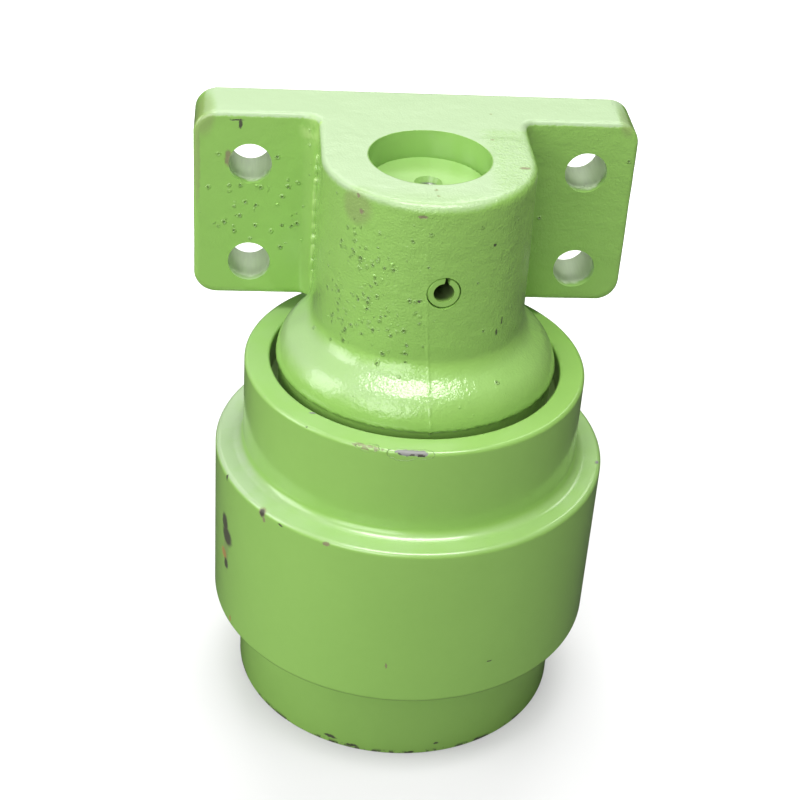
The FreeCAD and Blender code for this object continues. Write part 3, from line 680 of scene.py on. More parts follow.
def drill_mesh(name, places, radius, start, end, steps=72):
    """Closed cylinders along the line from start to end, one at each place."""
    axis = Vector(end) - Vector(start)
    turn = axis.to_track_quat("Z", "Y").to_matrix()
    points, faces = [], []
    for place in places:
        base = len(points)
        for height in (0, axis.length):
            for step in range(steps):
                angle = 2 * math.pi * step / steps
                spot = Vector((radius * math.cos(angle), radius * math.sin(angle), height))
                points.append(Vector(place) + Vector(start) + turn @ spot)
        for step in range(steps):
            after = (step + 1) % steps
            faces.append((base + step, base + after, base + steps + after, base + steps + step))
        faces.append(tuple(base + step for step in reversed(range(steps))))
        faces.append(tuple(base + steps + step for step in range(steps)))
    return mesh_from(name, points, faces)


def cut_from(piece, drill_data):
    """Takes a closed drill mesh out of a piece."""
    drill = new_piece("drill", drill_data)
    cut = piece.modifiers.new("cut", "BOOLEAN")
    cut.operation = "DIFFERENCE"
    cut.solver = "MANIFOLD"
    cut.object = drill
    plain_mesh(piece)
    bpy.data.objects.remove(drill)


def from_seam(sheet, place):
    """How far a point lies beside the casting's parting seam, which wanders a little."""
    x, y, z = sheet.split(place)
    wander = sheet.noise(place, 30 * MM, 1.0) - 0.5
    middle = sheet.times_plus(z, SEAM_LEAN, SEAM_START)
    middle = sheet.times_plus(wander, 2 * MM, middle)
    return abs(x - middle)


def skin_tree():
    """Geometry Nodes tree that roughens a casting: slow waves, sand grain and a parting seam."""
    sheet, given, result = geometry_tree("cast_skin", {
        "Swell Height": 0.4 * MM, "Swell Size": 25 * MM,
        "Grain Height": 0.2 * MM, "Grain Size": 5 * MM,
        "Seam Height": 0.3 * MM, "Seam Width": 1.7 * MM,
        "Machined Face": 75 * MM, "Seed": 0.0})
    position = sheet.get("GeometryNodeInputPosition")
    normal = sheet.get("GeometryNodeInputNormal")
    moved = sheet.vector("ADD", position, sheet.joined(given["Seed"], 0.0, 0.0))
    swell = sheet.noise(moved, given["Swell Size"], 1.0) - NOISE_CREST
    grain = sheet.noise(moved, given["Grain Size"], 3.0, 0.6) - NOISE_CREST
    x, y, z = sheet.split(position)
    cast = sheet.fade(y, given["Machined Face"] - 0.6 * MM, given["Machined Face"] - 2.5 * MM)
    skin = (swell * given["Swell Height"] + grain * given["Grain Height"]) * cast

    ridge = sheet.fade(from_seam(sheet, position), given["Seam Width"], 0.0)
    in_front = sheet.fade(y, -20 * MM, -40 * MM)
    broken = sheet.fade(sheet.noise(position, 9 * MM), 0.3, 0.62, 0.25, 1.0)
    low_down = sheet.fade(z, 285 * MM, 245 * MM, 0.3, 1.0)
    ridge = ridge * (in_front * broken) * low_down * given["Seam Height"]
    shaped = sheet.get("GeometryNodeSetPosition", {
        "Geometry": given["Geometry"], "Offset": sheet.scaled(normal, skin + ridge)})
    return close_tree(sheet, shaped, given["Material"], result)


def together(sheet, *parts):
    """Several geometries as one."""
    node = sheet.add("GeometryNodeJoinGeometry")
    for part in parts:
        sheet.feed(node.inputs[0], part)
    return Wire(sheet, node.outputs[0])


def random_vector(sheet, seed, low, high):
    """A random vector for each element, between two corners."""
    return sheet.get("FunctionNodeRandomValue", {"Seed": seed, 0: low, 1: high},
                     data_type="FLOAT_VECTOR")


def scattered_lumps(sheet, given, position):
    """Small flattened blobs on a casting, most of them near a middle."""
    x, y, z = sheet.split(position)
    away = sheet.length(sheet.vector("SUBTRACT", position, given["Cluster Middle"]))
    near = sheet.fade(away, given["Cluster Reach"], 0.0)
    patch = sheet.fade(sheet.noise(position, 12 * MM, 1.0), 0.42, 0.62)
    density = near * patch * given["Cluster Density"] + given["Even Density"]
    outside = sheet.across(x, y) > given["Clear Radius"]
    before = y < given["Clear Front"]
    density = density * (z > given["Clear Foot"]) * (before * outside) * (z < given["Clear Top"])
    scatter = sheet.wires(sheet.add("GeometryNodeDistributePointsOnFaces", {
        "Mesh": given["Geometry"], "Density": density, "Seed": given["Seed"]}))
    random = sheet.get("FunctionNodeRandomValue", {"Seed": given["Seed"]}, 1, data_type="FLOAT")
    share = sheet.math("POWER", random, 2.0)
    size = sheet.between(share, 0.35, 1.0) * given["Lump Size"]
    ball = sheet.get("GeometryNodeMeshIcoSphere", {"Radius": 1.0, "Subdivisions": 2})
    lump = sheet.get("GeometryNodeTransform", {"Geometry": ball, "Scale": LUMP_SHAPE})
    return sheet.get("GeometryNodeInstanceOnPoints", {
        "Points": scatter["Points"], "Instance": lump,
        "Rotation": scatter["Rotation"], "Scale": sheet.joined(size, size, size)})


def laid_bead(sheet, given):
    """A row of uneven drops along a line."""
    line = sheet.get("GeometryNodeCurvePrimitiveLine", {
        "Start": given["Bead Start"], "End": given["Bead End"]})
    spaced = sheet.get("GeometryNodeResampleCurve", {"Curve": line, "Count": given["Bead Count"]})
    shape = random_vector(sheet, given["Seed"], (0.7, 0.8, 1.2), (1.1, 1.2, 3.6))
    shift = random_vector(sheet, 3, (-0.4 * MM, -0.4 * MM, -1.2 * MM),
                          (0.4 * MM, 0.4 * MM, 1.2 * MM))
    loose = sheet.get("GeometryNodeSetPosition", {"Geometry": spaced, "Offset": shift})
    ball = sheet.get("GeometryNodeMeshIcoSphere", {"Radius": 1.0, "Subdivisions": 3})
    return sheet.get("GeometryNodeInstanceOnPoints", {
        "Points": loose, "Instance": ball, "Scale": sheet.scaled(shape, given["Bead Size"])})


def lumps_tree():
    """Geometry Nodes tree that scatters lumps on a casting and lays a bead along a line."""
    sheet, given, result = geometry_tree("cast_lumps", {
        "Cluster Middle": (0.0, 0.0, 0.0), "Cluster Reach": 30 * MM,
        "Cluster Density": 20000.0, "Even Density": 1500.0, "Lump Size": 1 * MM,
        "Bead Start": (0.0, 0.0, 0.0), "Bead End": (0.0, 0.0, 1.0),
        "Bead Count": 12, "Bead Size": 1.4 * MM,
        "Clear Foot": 0.2, "Clear Front": 0.045, "Clear Radius": 0.031, "Clear Top": 0.3,
        "Box Low": (-1.0, -1.0, 0.0), "Box High": (1.0, 1.0, 1.0), "Seed": 0})
    position = sheet.get("GeometryNodeInputPosition")
    extra = together(sheet, scattered_lumps(sheet, given, position), laid_bead(sheet, given))
    real = sheet.get("GeometryNodeRealizeInstances", {"Geometry": extra})
    smooth = sheet.get("GeometryNodeSetShadeSmooth", {"Geometry": real})
    low = sheet.vector("MAXIMUM", position, given["Box Low"])
    boxed = sheet.get("GeometryNodeSetPosition", {
        "Geometry": together(sheet, smooth, given["Geometry"]),
        "Position": sheet.vector("MINIMUM", low, given["Box High"])})
    return close_tree(sheet, boxed, given["Material"], result)


# Turned shell

Corner = namedtuple("Corner", "radius height rounding", defaults=(0.0,))
COVER_GAP = 0.02 * MM
# The seal seat's depth below the toric, and the shoulders that hold the two bearing cups
SEAT_DEPTH = 6 * MM
INNER_SHOULDER = 6 * MM
OUTER_SHOULDER = 4.5 * MM


def shell_outline(sizes):
    """Corners of the shell's section, outside first, then the bores it shows."""
    tread = SHELL_HIGH.x
    rim = sizes.rim_diameter / 2
    bore = sizes.guard_bore / 2
    cover_bore = COVER_HIGH.x + COVER_GAP
    top, foot = SHELL_HIGH.z, SHELL_LOW.z
    seat = TORIC_LOW.z - SEAT_DEPTH
    inner_foot, inner_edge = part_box("inner_bearing_cup")
    outer_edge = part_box("outer_bearing_cup")[1]
    return [
        Corner(cover_bore, foot, 0.5 * MM),
        Corner(rim, foot, sizes.small_edge),
        Corner(rim, sizes.tread_foot, sizes.under_cove),
        Corner(tread, sizes.tread_foot, sizes.tread_edge),
        Corner(tread, sizes.tread_head, sizes.tread_edge),
        Corner(rim, sizes.tread_head, sizes.rim_cove),
        Corner(rim, top, sizes.rim_edge),
        Corner(bore, top, sizes.guard_edge),
        Corner(bore, seat, sizes.small_edge),
        Corner(inner_edge.x, seat),
        Corner(inner_edge.x, inner_foot.z),
        Corner(inner_edge.x - INNER_SHOULDER, inner_foot.z),
        Corner(outer_edge.x - OUTER_SHOULDER, outer_edge.z),
        Corner(outer_edge.x, outer_edge.z),
        Corner(outer_edge.x, COVER_HIGH.z),
        Corner(cover_bore, COVER_HIGH.z),
    ]


def steadied(corners, margin):
    """Adds a plain point beside each rounding, so that long flats keep their shading."""
    steady = []
    for index, corner in enumerate(corners):
        here = Vector((corner.radius, corner.height))
        sides = []
        for other in (corners[index - 1], corners[(index + 1) % len(corners)]):
            there = Vector((other.radius, other.height))
            reach = corner.rounding + margin
            if corner.rounding and (there - here).length > other.rounding + reach + margin:
                spot = here + (there - here).normalized() * reach
                sides.append(Corner(spot.x, spot.y))
            else:
                sides.append(None)
        steady.extend(item for item in (sides[0], corner, sides[1]) if item)
    return steady


def outline_mesh(name, corners):
    """Closed ring of edges through the corners, with each one's rounding as an attribute."""
    count = len(corners)
    edges = [(index, (index + 1) % count) for index in range(count)]
    mesh = mesh_from(name, [(item.radius, 0, item.height) for item in corners], [], edges)
    rounding = mesh.attributes.new("rounding", "FLOAT", "POINT")
    rounding.data.foreach_set("value", [item.rounding for item in corners])
    return mesh


def turning_tree():
    """Geometry Nodes tree that rounds an outline's corners and turns it about the Z axis."""
    sheet, given, result = geometry_tree("turned_part", {
        "Arc Points": 8, "Steps": 128, "Sharp Angle": math.radians(35)})
    rounding = sheet.get("GeometryNodeInputNamedAttribute", {"Name": "rounding"})
    path = sheet.get("GeometryNodeMeshToCurve", {"Mesh": given["Geometry"]})
    fillet = sheet.get("GeometryNodeFilletCurve", {
        "Curve": path, "Radius": rounding, "Limit Radius": True,
        "Count": given["Arc Points"]}, mode="POLY")
    points = sheet.get("GeometryNodeCurveToPoints", {"Curve": fillet}, mode="EVALUATED")
    count = sheet.get("GeometryNodeAttributeDomainSize", {"Geometry": points}, "Point Count",
                      component="POINTCLOUD")
    row = given["Steps"] + 1.0
    grid = sheet.get("GeometryNodeMeshGrid", {"Vertices X": count + 1.0, "Vertices Y": row})
    index = sheet.get("GeometryNodeInputIndex")
    along = sheet.math("FLOOR", (index + 0.5) / row)
    turned = index - along * row
    sample = sheet.get("GeometryNodeSampleIndex", {
        "Geometry": points, "Value": sheet.get("GeometryNodeInputPosition"),
        "Index": sheet.math("MODULO", along, count)}, data_type="FLOAT_VECTOR")
    radius, unused, height = sheet.split(sample)
    angle = turned / given["Steps"] * (2 * math.pi)
    spot = sheet.joined(radius * sheet.math("COSINE", angle), radius * sheet.math("SINE", angle),
                        height)
    ring = sheet.get("GeometryNodeSetPosition", {"Geometry": grid, "Position": spot})
    closed = sheet.get("GeometryNodeMergeByDistance", {"Geometry": ring, "Distance": 0.0005 * MM})
    smooth = sheet.get("GeometryNodeSetShadeSmooth", {"Geometry": closed})
    bend = sheet.get("GeometryNodeInputMeshEdgeAngle", output="Unsigned Angle")
    soft = sheet.get("FunctionNodeCompare", {0: bend, 1: given["Sharp Angle"]},
                     data_type="FLOAT", operation="LESS_THAN")
    edged = sheet.get("GeometryNodeSetShadeSmooth", {"Geometry": smooth, "Shade Smooth": soft},
                      domain="EDGE")
    return close_tree(sheet, edged, given["Material"], result)


# The camera's view, used to lay marks where they show

def camera_axes(studio):
    """Right, up and back directions of the camera."""
    heading, dip, roll = studio.camera_heading, studio.camera_dip, studio.camera_roll
    ahead = Vector((math.sin(heading) * math.cos(dip), math.cos(heading) * math.cos(dip),
                    -math.sin(dip)))
    level = Vector((math.cos(heading), -math.sin(heading), 0))
    down = ahead.cross(level)
    right = math.cos(roll) * level + math.sin(roll) * down
    up = math.sin(roll) * level - math.cos(roll) * down
    return right, up, -ahead


def sight_line(pixel):
    """Start and direction of the line of sight through a pixel."""
    studio = bpy.context.scene.roller_studio
    right, up, back = camera_axes(studio)
    across = (pixel[0] - PHOTO_SIZE / 2) / studio.focal_pixels
    above = (PHOTO_SIZE / 2 - pixel[1]) / studio.focal_pixels
    return Vector(studio.camera_place), (right * across + up * above - back).normalized()


def seen_on_round(pixel, radius):
    """Point on an upright cylinder about the axis that shows at a pixel."""
    eye, ray = sight_line(pixel)
    flat = ray.x ** 2 + ray.y ** 2
    towards = eye.x * ray.x + eye.y * ray.y
    gap = eye.x ** 2 + eye.y ** 2 - radius ** 2
    root = math.sqrt(max(towards ** 2 - flat * gap, 0.0))
    return eye + ray * (-towards - root) / flat


def seen_on_level(pixel, height):
    """Point on a level plane that shows at a pixel."""
    eye, ray = sight_line(pixel)
    return eye + ray * (height - eye.z) / ray.z


def seen_on_upright(pixel, depth):
    """Point on an upright plane of one Y that shows at a pixel."""
    eye, ray = sight_line(pixel)
    return eye + ray * (depth - eye.y) / ray.y


# Marks: where each shows in the photograph, in pixels, and its size as seen
Mark = namedtuple("Mark", "pixel surface reach kind")
RIM_ROUND = ("round", 88 * MM)
TREAD_ROUND = ("round", 102.5 * MM)
STEP_LEVEL = ("level", 145.5 * MM)
RIM_LEVEL = ("level", 195.5 * MM)
SHELL_MARKS = {
    "rim_nick_left": Mark((264, 394), RIM_ROUND, (1.4, 1.4, 2.2), "steel"),
    "rim_face_nick": Mark((313, 413), RIM_LEVEL, (1.6, 0.8, 1.0), "steel"),
    "rim_dark_nick": Mark((306, 427), RIM_ROUND, (0.7, 0.7, 0.6), "dark"),
    "rim_flake": Mark((402, 454), RIM_ROUND, (7.0, 3.0, 3.4), "flaked"),
    "rim_flake_right": Mark((421, 455), RIM_ROUND, (6.0, 3.0, 2.4), "flaked"),
    "rim_flake_left": Mark((366, 448), RIM_ROUND, (6.0, 3.0, 1.6), "flaked"),
    "tread_edge_left": Mark((227, 476), TREAD_ROUND, (1.0, 1.0, 2.6), "dark"),
    "tread_edge_chip": Mark((262, 511), TREAD_ROUND, (2.2, 2.2, 3.6), "stain"),
    "tread_edge_chip_mid": Mark((262, 512), TREAD_ROUND, (1.5, 1.5, 2.8), "dark"),
    "tread_edge_chip_low": Mark((264, 520), TREAD_ROUND, (1.0, 1.0, 1.2), "stain"),
    "tread_edge_speck": Mark((280, 525), TREAD_ROUND, (1.8, 1.0, 0.6), "dark"),
    "tread_edge_mid": Mark((326, 544), TREAD_ROUND, (1.9, 1.2, 1.0), "stain"),
    "tread_gouge_top": Mark((225, 522), TREAD_ROUND, (2.2, 4.5, 4.8), "dark"),
    "tread_gouge": Mark((227, 536), TREAD_ROUND, (3.4, 7.0, 4.8), "dark"),
    "tread_gouge_foot": Mark((226, 563), TREAD_ROUND, (1.4, 3.0, 2.8), "dark"),
    "tread_film": Mark((226, 545), TREAD_ROUND, (5.0, 3.0, 14.0), "film"),
    "tread_rust": Mark((224, 552), TREAD_ROUND, (2.0, 4.0, 2.8), "rust"),
    "tread_low_rust": Mark((230, 618), TREAD_ROUND, (1.0, 1.0, 1.6), "rust"),
    "step_right_nick": Mark((597, 462), STEP_LEVEL, (1.0, 1.4, 0.9), "steel"),
    "tread_scuff": Mark((386, 666), TREAD_ROUND, (0.5, 0.5, 1.6), "stain"),
    "tread_scuff_right": Mark((489, 661), TREAD_ROUND, (1.8, 0.7, 0.4), "dark"),
    "foot_rim_chip_left": Mark((330, 736), RIM_ROUND, (3.6, 2.4, 0.9), "dark"),
    "foot_rim_chip_mid": Mark((352, 745), RIM_ROUND, (3.0, 2.4, 0.8), "dark"),
    "foot_rim_spot": Mark((436, 743), RIM_ROUND, (1.4, 0.9, 0.6), "dark"),
    "foot_rim_right": Mark((480, 738), RIM_ROUND, (6.0, 3.0, 0.9), "dark"),
    "foot_rim_far": Mark((505, 727), RIM_ROUND, (5.0, 3.0, 0.9), "dark"),
    "foot_rim_bit": Mark((410, 752), RIM_ROUND, (1.6, 1.2, 0.6), "dark"),
}
# Ends of the strip along the upper rim's front edge that has lost its paint, in pixels
STRIP_LEFT = ((348, 435), (384, 445))
STRIP_RIGHT = ((391, 447), (432, 451))

BOSS_ROUND = ("round", 53 * MM)
HEAD_LEVEL = ("level", 308.6 * MM)
PLATE_UPRIGHT = ("upright", 45 * MM)
BRACKET_MARKS = {
    "plate_chip_dash": Mark((237, 120), PLATE_UPRIGHT, (3.0, 1.5, 0.4), "dark"),
    "plate_chip": Mark((241, 124), PLATE_UPRIGHT, (0.9, 1.5, 2.2), "dark"),
    "plate_corner_film": Mark((202, 110), PLATE_UPRIGHT, (6.0, 24.0, 12.0), "film"),
    "plate_corner_film_right": Mark((630, 118), PLATE_UPRIGHT, (4.0, 22.0, 9.0), "film"),
    "plate_end_film": Mark((197, 160), PLATE_UPRIGHT, (1.4, 4.0, 22.0), "film"),
    "hole_film": Mark((228, 158), PLATE_UPRIGHT, (1.6, 2.0, 4.0), "stain"),
    "edge_film": Mark((355, 206), BOSS_ROUND, (12.0, 6.0, 8.0), "film"),
    "edge_stain": Mark((358, 196), BOSS_ROUND, (1.0, 1.2, 1.0), "stain"),
    "edge_stain_low": Mark((361, 212), BOSS_ROUND, (1.3, 1.2, 1.1), "stain"),
    "edge_stain_mid": Mark((423, 218), BOSS_ROUND, (2.2, 1.2, 0.8), "stain"),
    "edge_stain_right": Mark((471, 207), HEAD_LEVEL, (1.0, 1.4, 1.0), "stain"),
    "top_nick": Mark((437, 189), HEAD_LEVEL, (1.0, 0.9, 1.0), "stain"),
    "top_nick_low": Mark((439, 195), HEAD_LEVEL, (0.7, 0.9, 1.0), "stain"),
    "top_nick_right": Mark((526, 168), HEAD_LEVEL, (2.4, 1.2, 1.0), "stain"),
    "top_speck": Mark((491, 115), HEAD_LEVEL, (0.9, 0.8, 0.8), "stain"),
    "top_speck_low": Mark((492, 140), HEAD_LEVEL, (0.9, 0.7, 0.8), "stain"),
    "boss_pit": Mark((496, 246), BOSS_ROUND, (0.9, 0.9, 0.7), "dark"),
    "boss_crack": Mark((502, 320), BOSS_ROUND, (0.4, 0.9, 1.7), "dark"),
    "boss_crack_low": Mark((496, 332), BOSS_ROUND, (0.4, 0.9, 1.7), "dark"),
    "pin_nick": Mark((419, 302), BOSS_ROUND, (0.9, 0.9, 0.5), "dark"),
}


def mark_place(mark):
    """Point on the object that a mark covers."""
    form, measure = mark.surface
    finders = {"round": seen_on_round, "level": seen_on_level, "upright": seen_on_upright}
    return finders[form](mark.pixel, measure)


# Shader node groups for the effects that several materials share

def make_peel_group():
    """Orange peel and slow waves of a sprayed paint film."""
    sheet, given, result = new_tree("paint_peel", "ShaderNodeTree", {
        "Position": "Vector", "Peel Size": 2 * MM, "Peel Depth": 0.03 * MM,
        "Wave Size": 12 * MM, "Wave Depth": 0.1 * MM}, {"Height": "Float"})
    peel = sheet.noise(given["Position"], given["Peel Size"], 2.0, 0.55)
    wave = sheet.noise(given["Position"], given["Wave Size"], 1.0)
    sheet.fill(result, {"Height": peel * given["Peel Depth"] + wave * given["Wave Depth"]})


def make_warp_group():
    """A position shaken by noise, so that spots laid on it have ragged edges."""
    sheet, given, result = new_tree("ragged_position", "ShaderNodeTree", {
        "Position": "Vector", "Size": 3 * MM, "Amount": 2 * MM}, {"Position": "Vector"})
    noise = sheet.noise(given["Position"], given["Size"], 3.0, 0.65, "Color")
    shake = sheet.vector("SUBTRACT", noise, (0.5, 0.5, 0.5))
    moved = sheet.vector("ADD", given["Position"], sheet.scaled(shake, given["Amount"]))
    sheet.fill(result, {"Position": moved})


def make_spot_group():
    """One spot: 1 inside an oval of the given reach about a middle, 0 outside."""
    sheet, given, result = new_tree("worn_spot", "ShaderNodeTree", {
        "Position": "Vector", "Middle": "Vector", "Reach": "Vector"}, {"Mask": "Float"})
    away = sheet.vector("SUBTRACT", given["Position"], given["Middle"])
    away = sheet.length(sheet.vector("DIVIDE", away, given["Reach"]))
    sheet.fill(result, {"Mask": sheet.fade(away, 1.45, 0.75)})


def make_tone_group():
    """Slow patches of thicker and thinner paint, as a factor from 0 to 1."""
    sheet, given, result = new_tree("paint_tone", "ShaderNodeTree", {
        "Position": "Vector", "Size": 40 * MM, "Contrast": 0.5}, {"Factor": "Float"})
    slow = sheet.noise(given["Position"], given["Size"], 3.0, 0.6)
    fine = sheet.noise(given["Position"], given["Size"] / 9.0)
    both = sheet.times_plus(fine, 0.3, slow * 0.7)
    factor = sheet.math("MULTIPLY_ADD", both - 0.5, given["Contrast"], 0.5, clamp=True)
    sheet.fill(result, {"Factor": factor})


def make_pore_group():
    """Small gas pores in a casting: a mask of their hollows and their relief."""
    sheet, given, result = new_tree("cast_pores", "ShaderNodeTree", {
        "Position": "Vector", "Spacing": 6 * MM, "Width": 1 * MM, "Share": 0.3,
        "Depth": 0.4 * MM}, {"Mask": "Float", "Height": "Float"})
    cells = sheet.wires(sheet.add("ShaderNodeTexVoronoi", {
        "Vector": given["Position"], "Scale": 1.0 / given["Spacing"]}))
    distance = cells["Distance"] * given["Spacing"]
    pick, size, unused = sheet.split(cells["Color"])
    width = given["Width"] * sheet.fade(size, 0.0, 1.0, 0.35, 1.0)
    chosen = pick < given["Share"]
    mask = sheet.fade(distance, width, width * 0.25) * chosen
    lip = sheet.fade(distance, width * 1.9, width) * chosen * 0.5
    sheet.fill(result, {"Mask": mask, "Height": (lip - mask * 1.5) * given["Depth"]})


def make_steel_group():
    """Steel with fine streaks or rings: its colour, roughness and relief."""
    sheet, given, result = new_tree("steel_grain", "ShaderNodeTree", {
        "Streak Position": "Vector",
        "Bright": (0.5, 0.5, 0.5, 1.0), "Dull": (0.3, 0.3, 0.3, 1.0),
        "Roughness": 0.35, "Depth": 0.01 * MM},
        {"Color": "Color", "Roughness": "Float", "Height": "Float"})
    streak = sheet.get("ShaderNodeTexNoise", {
        "Vector": given["Streak Position"], "Scale": 1.0, "Detail": 4.0, "Roughness": 0.6}, "Fac")
    tint = sheet.blend(sheet.fade(streak, 0.3, 0.7), given["Dull"], given["Bright"])
    rough = sheet.times_plus(streak, 0.25, given["Roughness"] - 0.12)
    sheet.fill(result, {"Color": tint, "Roughness": rough, "Height": streak * given["Depth"]})


def make_shader_groups():
    """Every shader group that the materials share."""
    for make in (make_peel_group, make_warp_group, make_spot_group, make_tone_group,
                 make_pore_group, make_steel_group):
        make()


# Materials

def finish_named(name):
    """The visual material made under a name."""
    return bpy.data.materials["visual_" + name]


def new_material(name):
    """An empty material: its sheet, its shader and Object coordinates."""
    material = bpy.data.materials.new("visual_" + name)
    material.use_nodes = True
    material.node_tree.nodes.clear()
    sheet = Sheet(material.node_tree)
    shader = sheet.add("ShaderNodeBsdfPrincipled")
    sheet.add("ShaderNodeOutputMaterial", {"Surface": Wire(sheet, shader.outputs[0])})
    return sheet, shader, sheet.get("ShaderNodeTexCoord", output="Object")


def facing_up(sheet):
    """How far a face looks up: 1 for a level face, 0 for a wall."""
    normal = sheet.get("ShaderNodeTexCoord", output="Normal")
    return list(sheet.split(normal))[2]


def relief(sheet, height, shader):
    """Bump from a height in metres, for the surface and for its glossy coat."""
    bump = sheet.get("ShaderNodeBump", {"Height": height, "Distance": 1.0, "Strength": 1.0})
    sheet.fill(shader, {"Normal": bump, "Coat Normal": bump})


def peeled(sheet, place, peel_size, peel_depth, wave_size, wave_depth):
    """Height of a paint film's orange peel, from sizes in millimetres."""
    return sheet.group("paint_peel", position=place, peel_size=peel_size * MM,
                       peel_depth=peel_depth * MM, wave_size=wave_size * MM,
                       wave_depth=wave_depth * MM)["Height"]


def laid_marks(sheet, place, marks):
    """A mask for each kind of mark, and the ragged position that they are laid on."""
    ragged = sheet.group("ragged_position", position=place, size=2.4 * MM,
                         amount=2.4 * MM)["Position"]
    masks = {}
    for mark in marks.values():
        reach = tuple(length * MM for length in mark.reach)
        spot = sheet.group("worn_spot", position=ragged, middle=mark_place(mark),
                           reach=reach)["Mask"]
        masks[mark.kind] = sheet.larger(masks.get(mark.kind, 0.0), spot)
    return masks, ragged


def painted(sheet, finish, place, masks):
    """Paint colour with marks laid over it: colour, roughness and how much paint is left."""
    tone = sheet.group("paint_tone", position=place, size=45 * MM, contrast=1.6)["Factor"]
    paint = sheet.blend(tone, colour(finish.paint_shade), colour(finish.paint))
    tint = sheet.blend(0.6, paint, colour(finish.paint))
    bare = 0.0
    for kind, (shade, cover) in MARK_COVERS.items():
        if kind in masks:
            mask = masks[kind] * cover
            tint = sheet.blend(mask, tint, colour(getattr(finish, shade)))
            bare = bare if kind == "film" else sheet.larger(bare, mask)
    film = sheet.math("SUBTRACT", 1.0, bare, clamp=True)
    return tint, sheet.between(film, BARE_ROUGHNESS, finish.paint_roughness), film


def bead_paint_and_highlight(sheet, place):
    """Where thick pale paint, partly a painted highlight, runs along the bead between boss and
    plate.
    """
    x, y, z = sheet.split(place)
    away = sheet.across(x - BEAD_FOOT[0], y - BEAD_FOOT[1])
    line = sheet.fade(away, 2.6 * MM, 1.4 * MM)
    line = line * sheet.fade(z, BEAD_FOOT[2], BEAD_FOOT[2] + 6 * MM)
    broken = sheet.fade(sheet.noise(place, 6 * MM), 0.36, 0.56)
    from_lump = sheet.length(sheet.vector("SUBTRACT", place, BEAD_LUMP))
    return sheet.larger(line, sheet.fade(from_lump, 9 * MM, 4 * MM)) * broken * 0.75


def seam_ridge(sheet, place):
    """The fine broken line along the parting seam."""
    x, y, z = sheet.split(place)
    line = sheet.fade(from_seam(sheet, place), 1.1 * MM, 0.1 * MM)
    in_front = sheet.fade(y, 0.0, -20 * MM)
    broken = sheet.fade(sheet.noise(place, 4 * MM, 3.0), 0.34, 0.6, 0.1, 1.0)
    low_down = sheet.fade(z, 275 * MM, 235 * MM, 0.25, 1.0) * sheet.fade(z, 198 * MM, 201 * MM)
    return line * in_front * (broken * low_down)


def dusted_with_sheen(sheet, finish, tint, dust_and_sheen):
    """Paint colour with pale dust and painted sheen over it."""
    return sheet.blend(dust_and_sheen, tint, colour(finish.chalky_paint_and_sheen))


def casting_dust_and_sheen(sheet, place, upward):
    """Pale dust and painted sheen on the casting: its top face and the left of the bell guard."""
    x, y, z = sheet.split(place)
    rise = math.tan(bpy.context.scene.roller_casting.top_rise)
    level = sheet.times_plus(y, rise, BRACKET_HIGH.z - BRACKET_HIGH.y * rise)
    ragged = sheet.noise(place, 1.8 * MM, 3.0) - 0.5
    under = sheet.times_plus(ragged, 2 * MM, level - z)
    right = sheet.fade(x, 15 * MM, 35 * MM)
    on_plate = sheet.fade(y, 30 * MM, 40 * MM)
    start = sheet.between(on_plate, sheet.between(right, 4.6 * MM, 2.4 * MM), 2.8 * MM)
    width = sheet.between(on_plate, 3.6 * MM, 1.2 * MM)
    on_top = sheet.fade(under, start, start - width)
    on_top = on_top * sheet.fade(y, -52 * MM, -32 * MM, 0.72, 1.0)
    leftward = (sheet.fade(x, 15 * MM, -30 * MM, 0.1, 0.5)
                + sheet.fade(x, -42 * MM, -62 * MM, 0.0, 0.15))
    on_bell = leftward * sheet.fade(upward, 0.3, 0.75) * sheet.fade(z, 240 * MM, 222 * MM)
    return on_top, on_bell


def shell_dust_and_sheen(sheet, place, upward):
    """Pale dust and painted sheen on the shell's up-facing faces: most on the left of the step,
    little on the rim.
    """
    x, y, z = sheet.split(place)
    sizes = bpy.context.scene.roller_shell
    low = sheet.fade(z, sizes.tread_head + 4 * MM, sizes.tread_head + 2 * MM)
    far_left = sheet.fade(x, -60 * MM, -98 * MM, 0.0, 0.7)
    on_step = far_left + sheet.fade(x, 60 * MM, -60 * MM, 0.25, 0.45)
    on_rim = sheet.times_plus(x, -RIM_DUST_AND_SHEEN / (88 * MM), RIM_DUST_AND_SHEEN)
    dust_and_sheen = sheet.between(low, on_rim, on_step) * sheet.fade(upward, 0.3, 0.9)
    uneven = sheet.fade(sheet.noise(place, 18 * MM, 3.0), 0.3, 0.65, 0.75, 1.15)
    return sheet.math("MULTIPLY", dust_and_sheen, uneven, clamp=True)


def rim_strip(sheet, ragged):
    """Masks of the pale and the bare stretch along the upper rim's front edge."""
    x, y, z = sheet.split(ragged)
    rim = bpy.context.scene.roller_shell.rim_diameter / 2
    from_edge = sheet.across(sheet.across(x, y) - rim, z - SHELL_HIGH.z)
    front = y < 0.0
    bite = sheet.noise(ragged, 4 * MM, 3.0) - 0.5
    masks = []
    for ends, width in ((STRIP_LEFT, 1.9 * MM), (STRIP_RIGHT, 2.1 * MM)):
        start, end = [seen_on_level(pixel, SHELL_HIGH.z).x for pixel in ends]
        taper = (sheet.fade(x, start, start + 6 * MM, 0.3, 1.0)
                 * sheet.fade(x, end, end - 5 * MM, 0.3, 1.0))
        edge = sheet.times_plus(bite, 1.4 * MM, taper * width)
        band = sheet.fade(from_edge, edge + 0.25 * MM, edge - 0.25 * MM)
        along = sheet.fade(x, start - 1 * MM, start) * sheet.fade(x, end + 1 * MM, end)
        masks.append(band * along * front)
    return masks


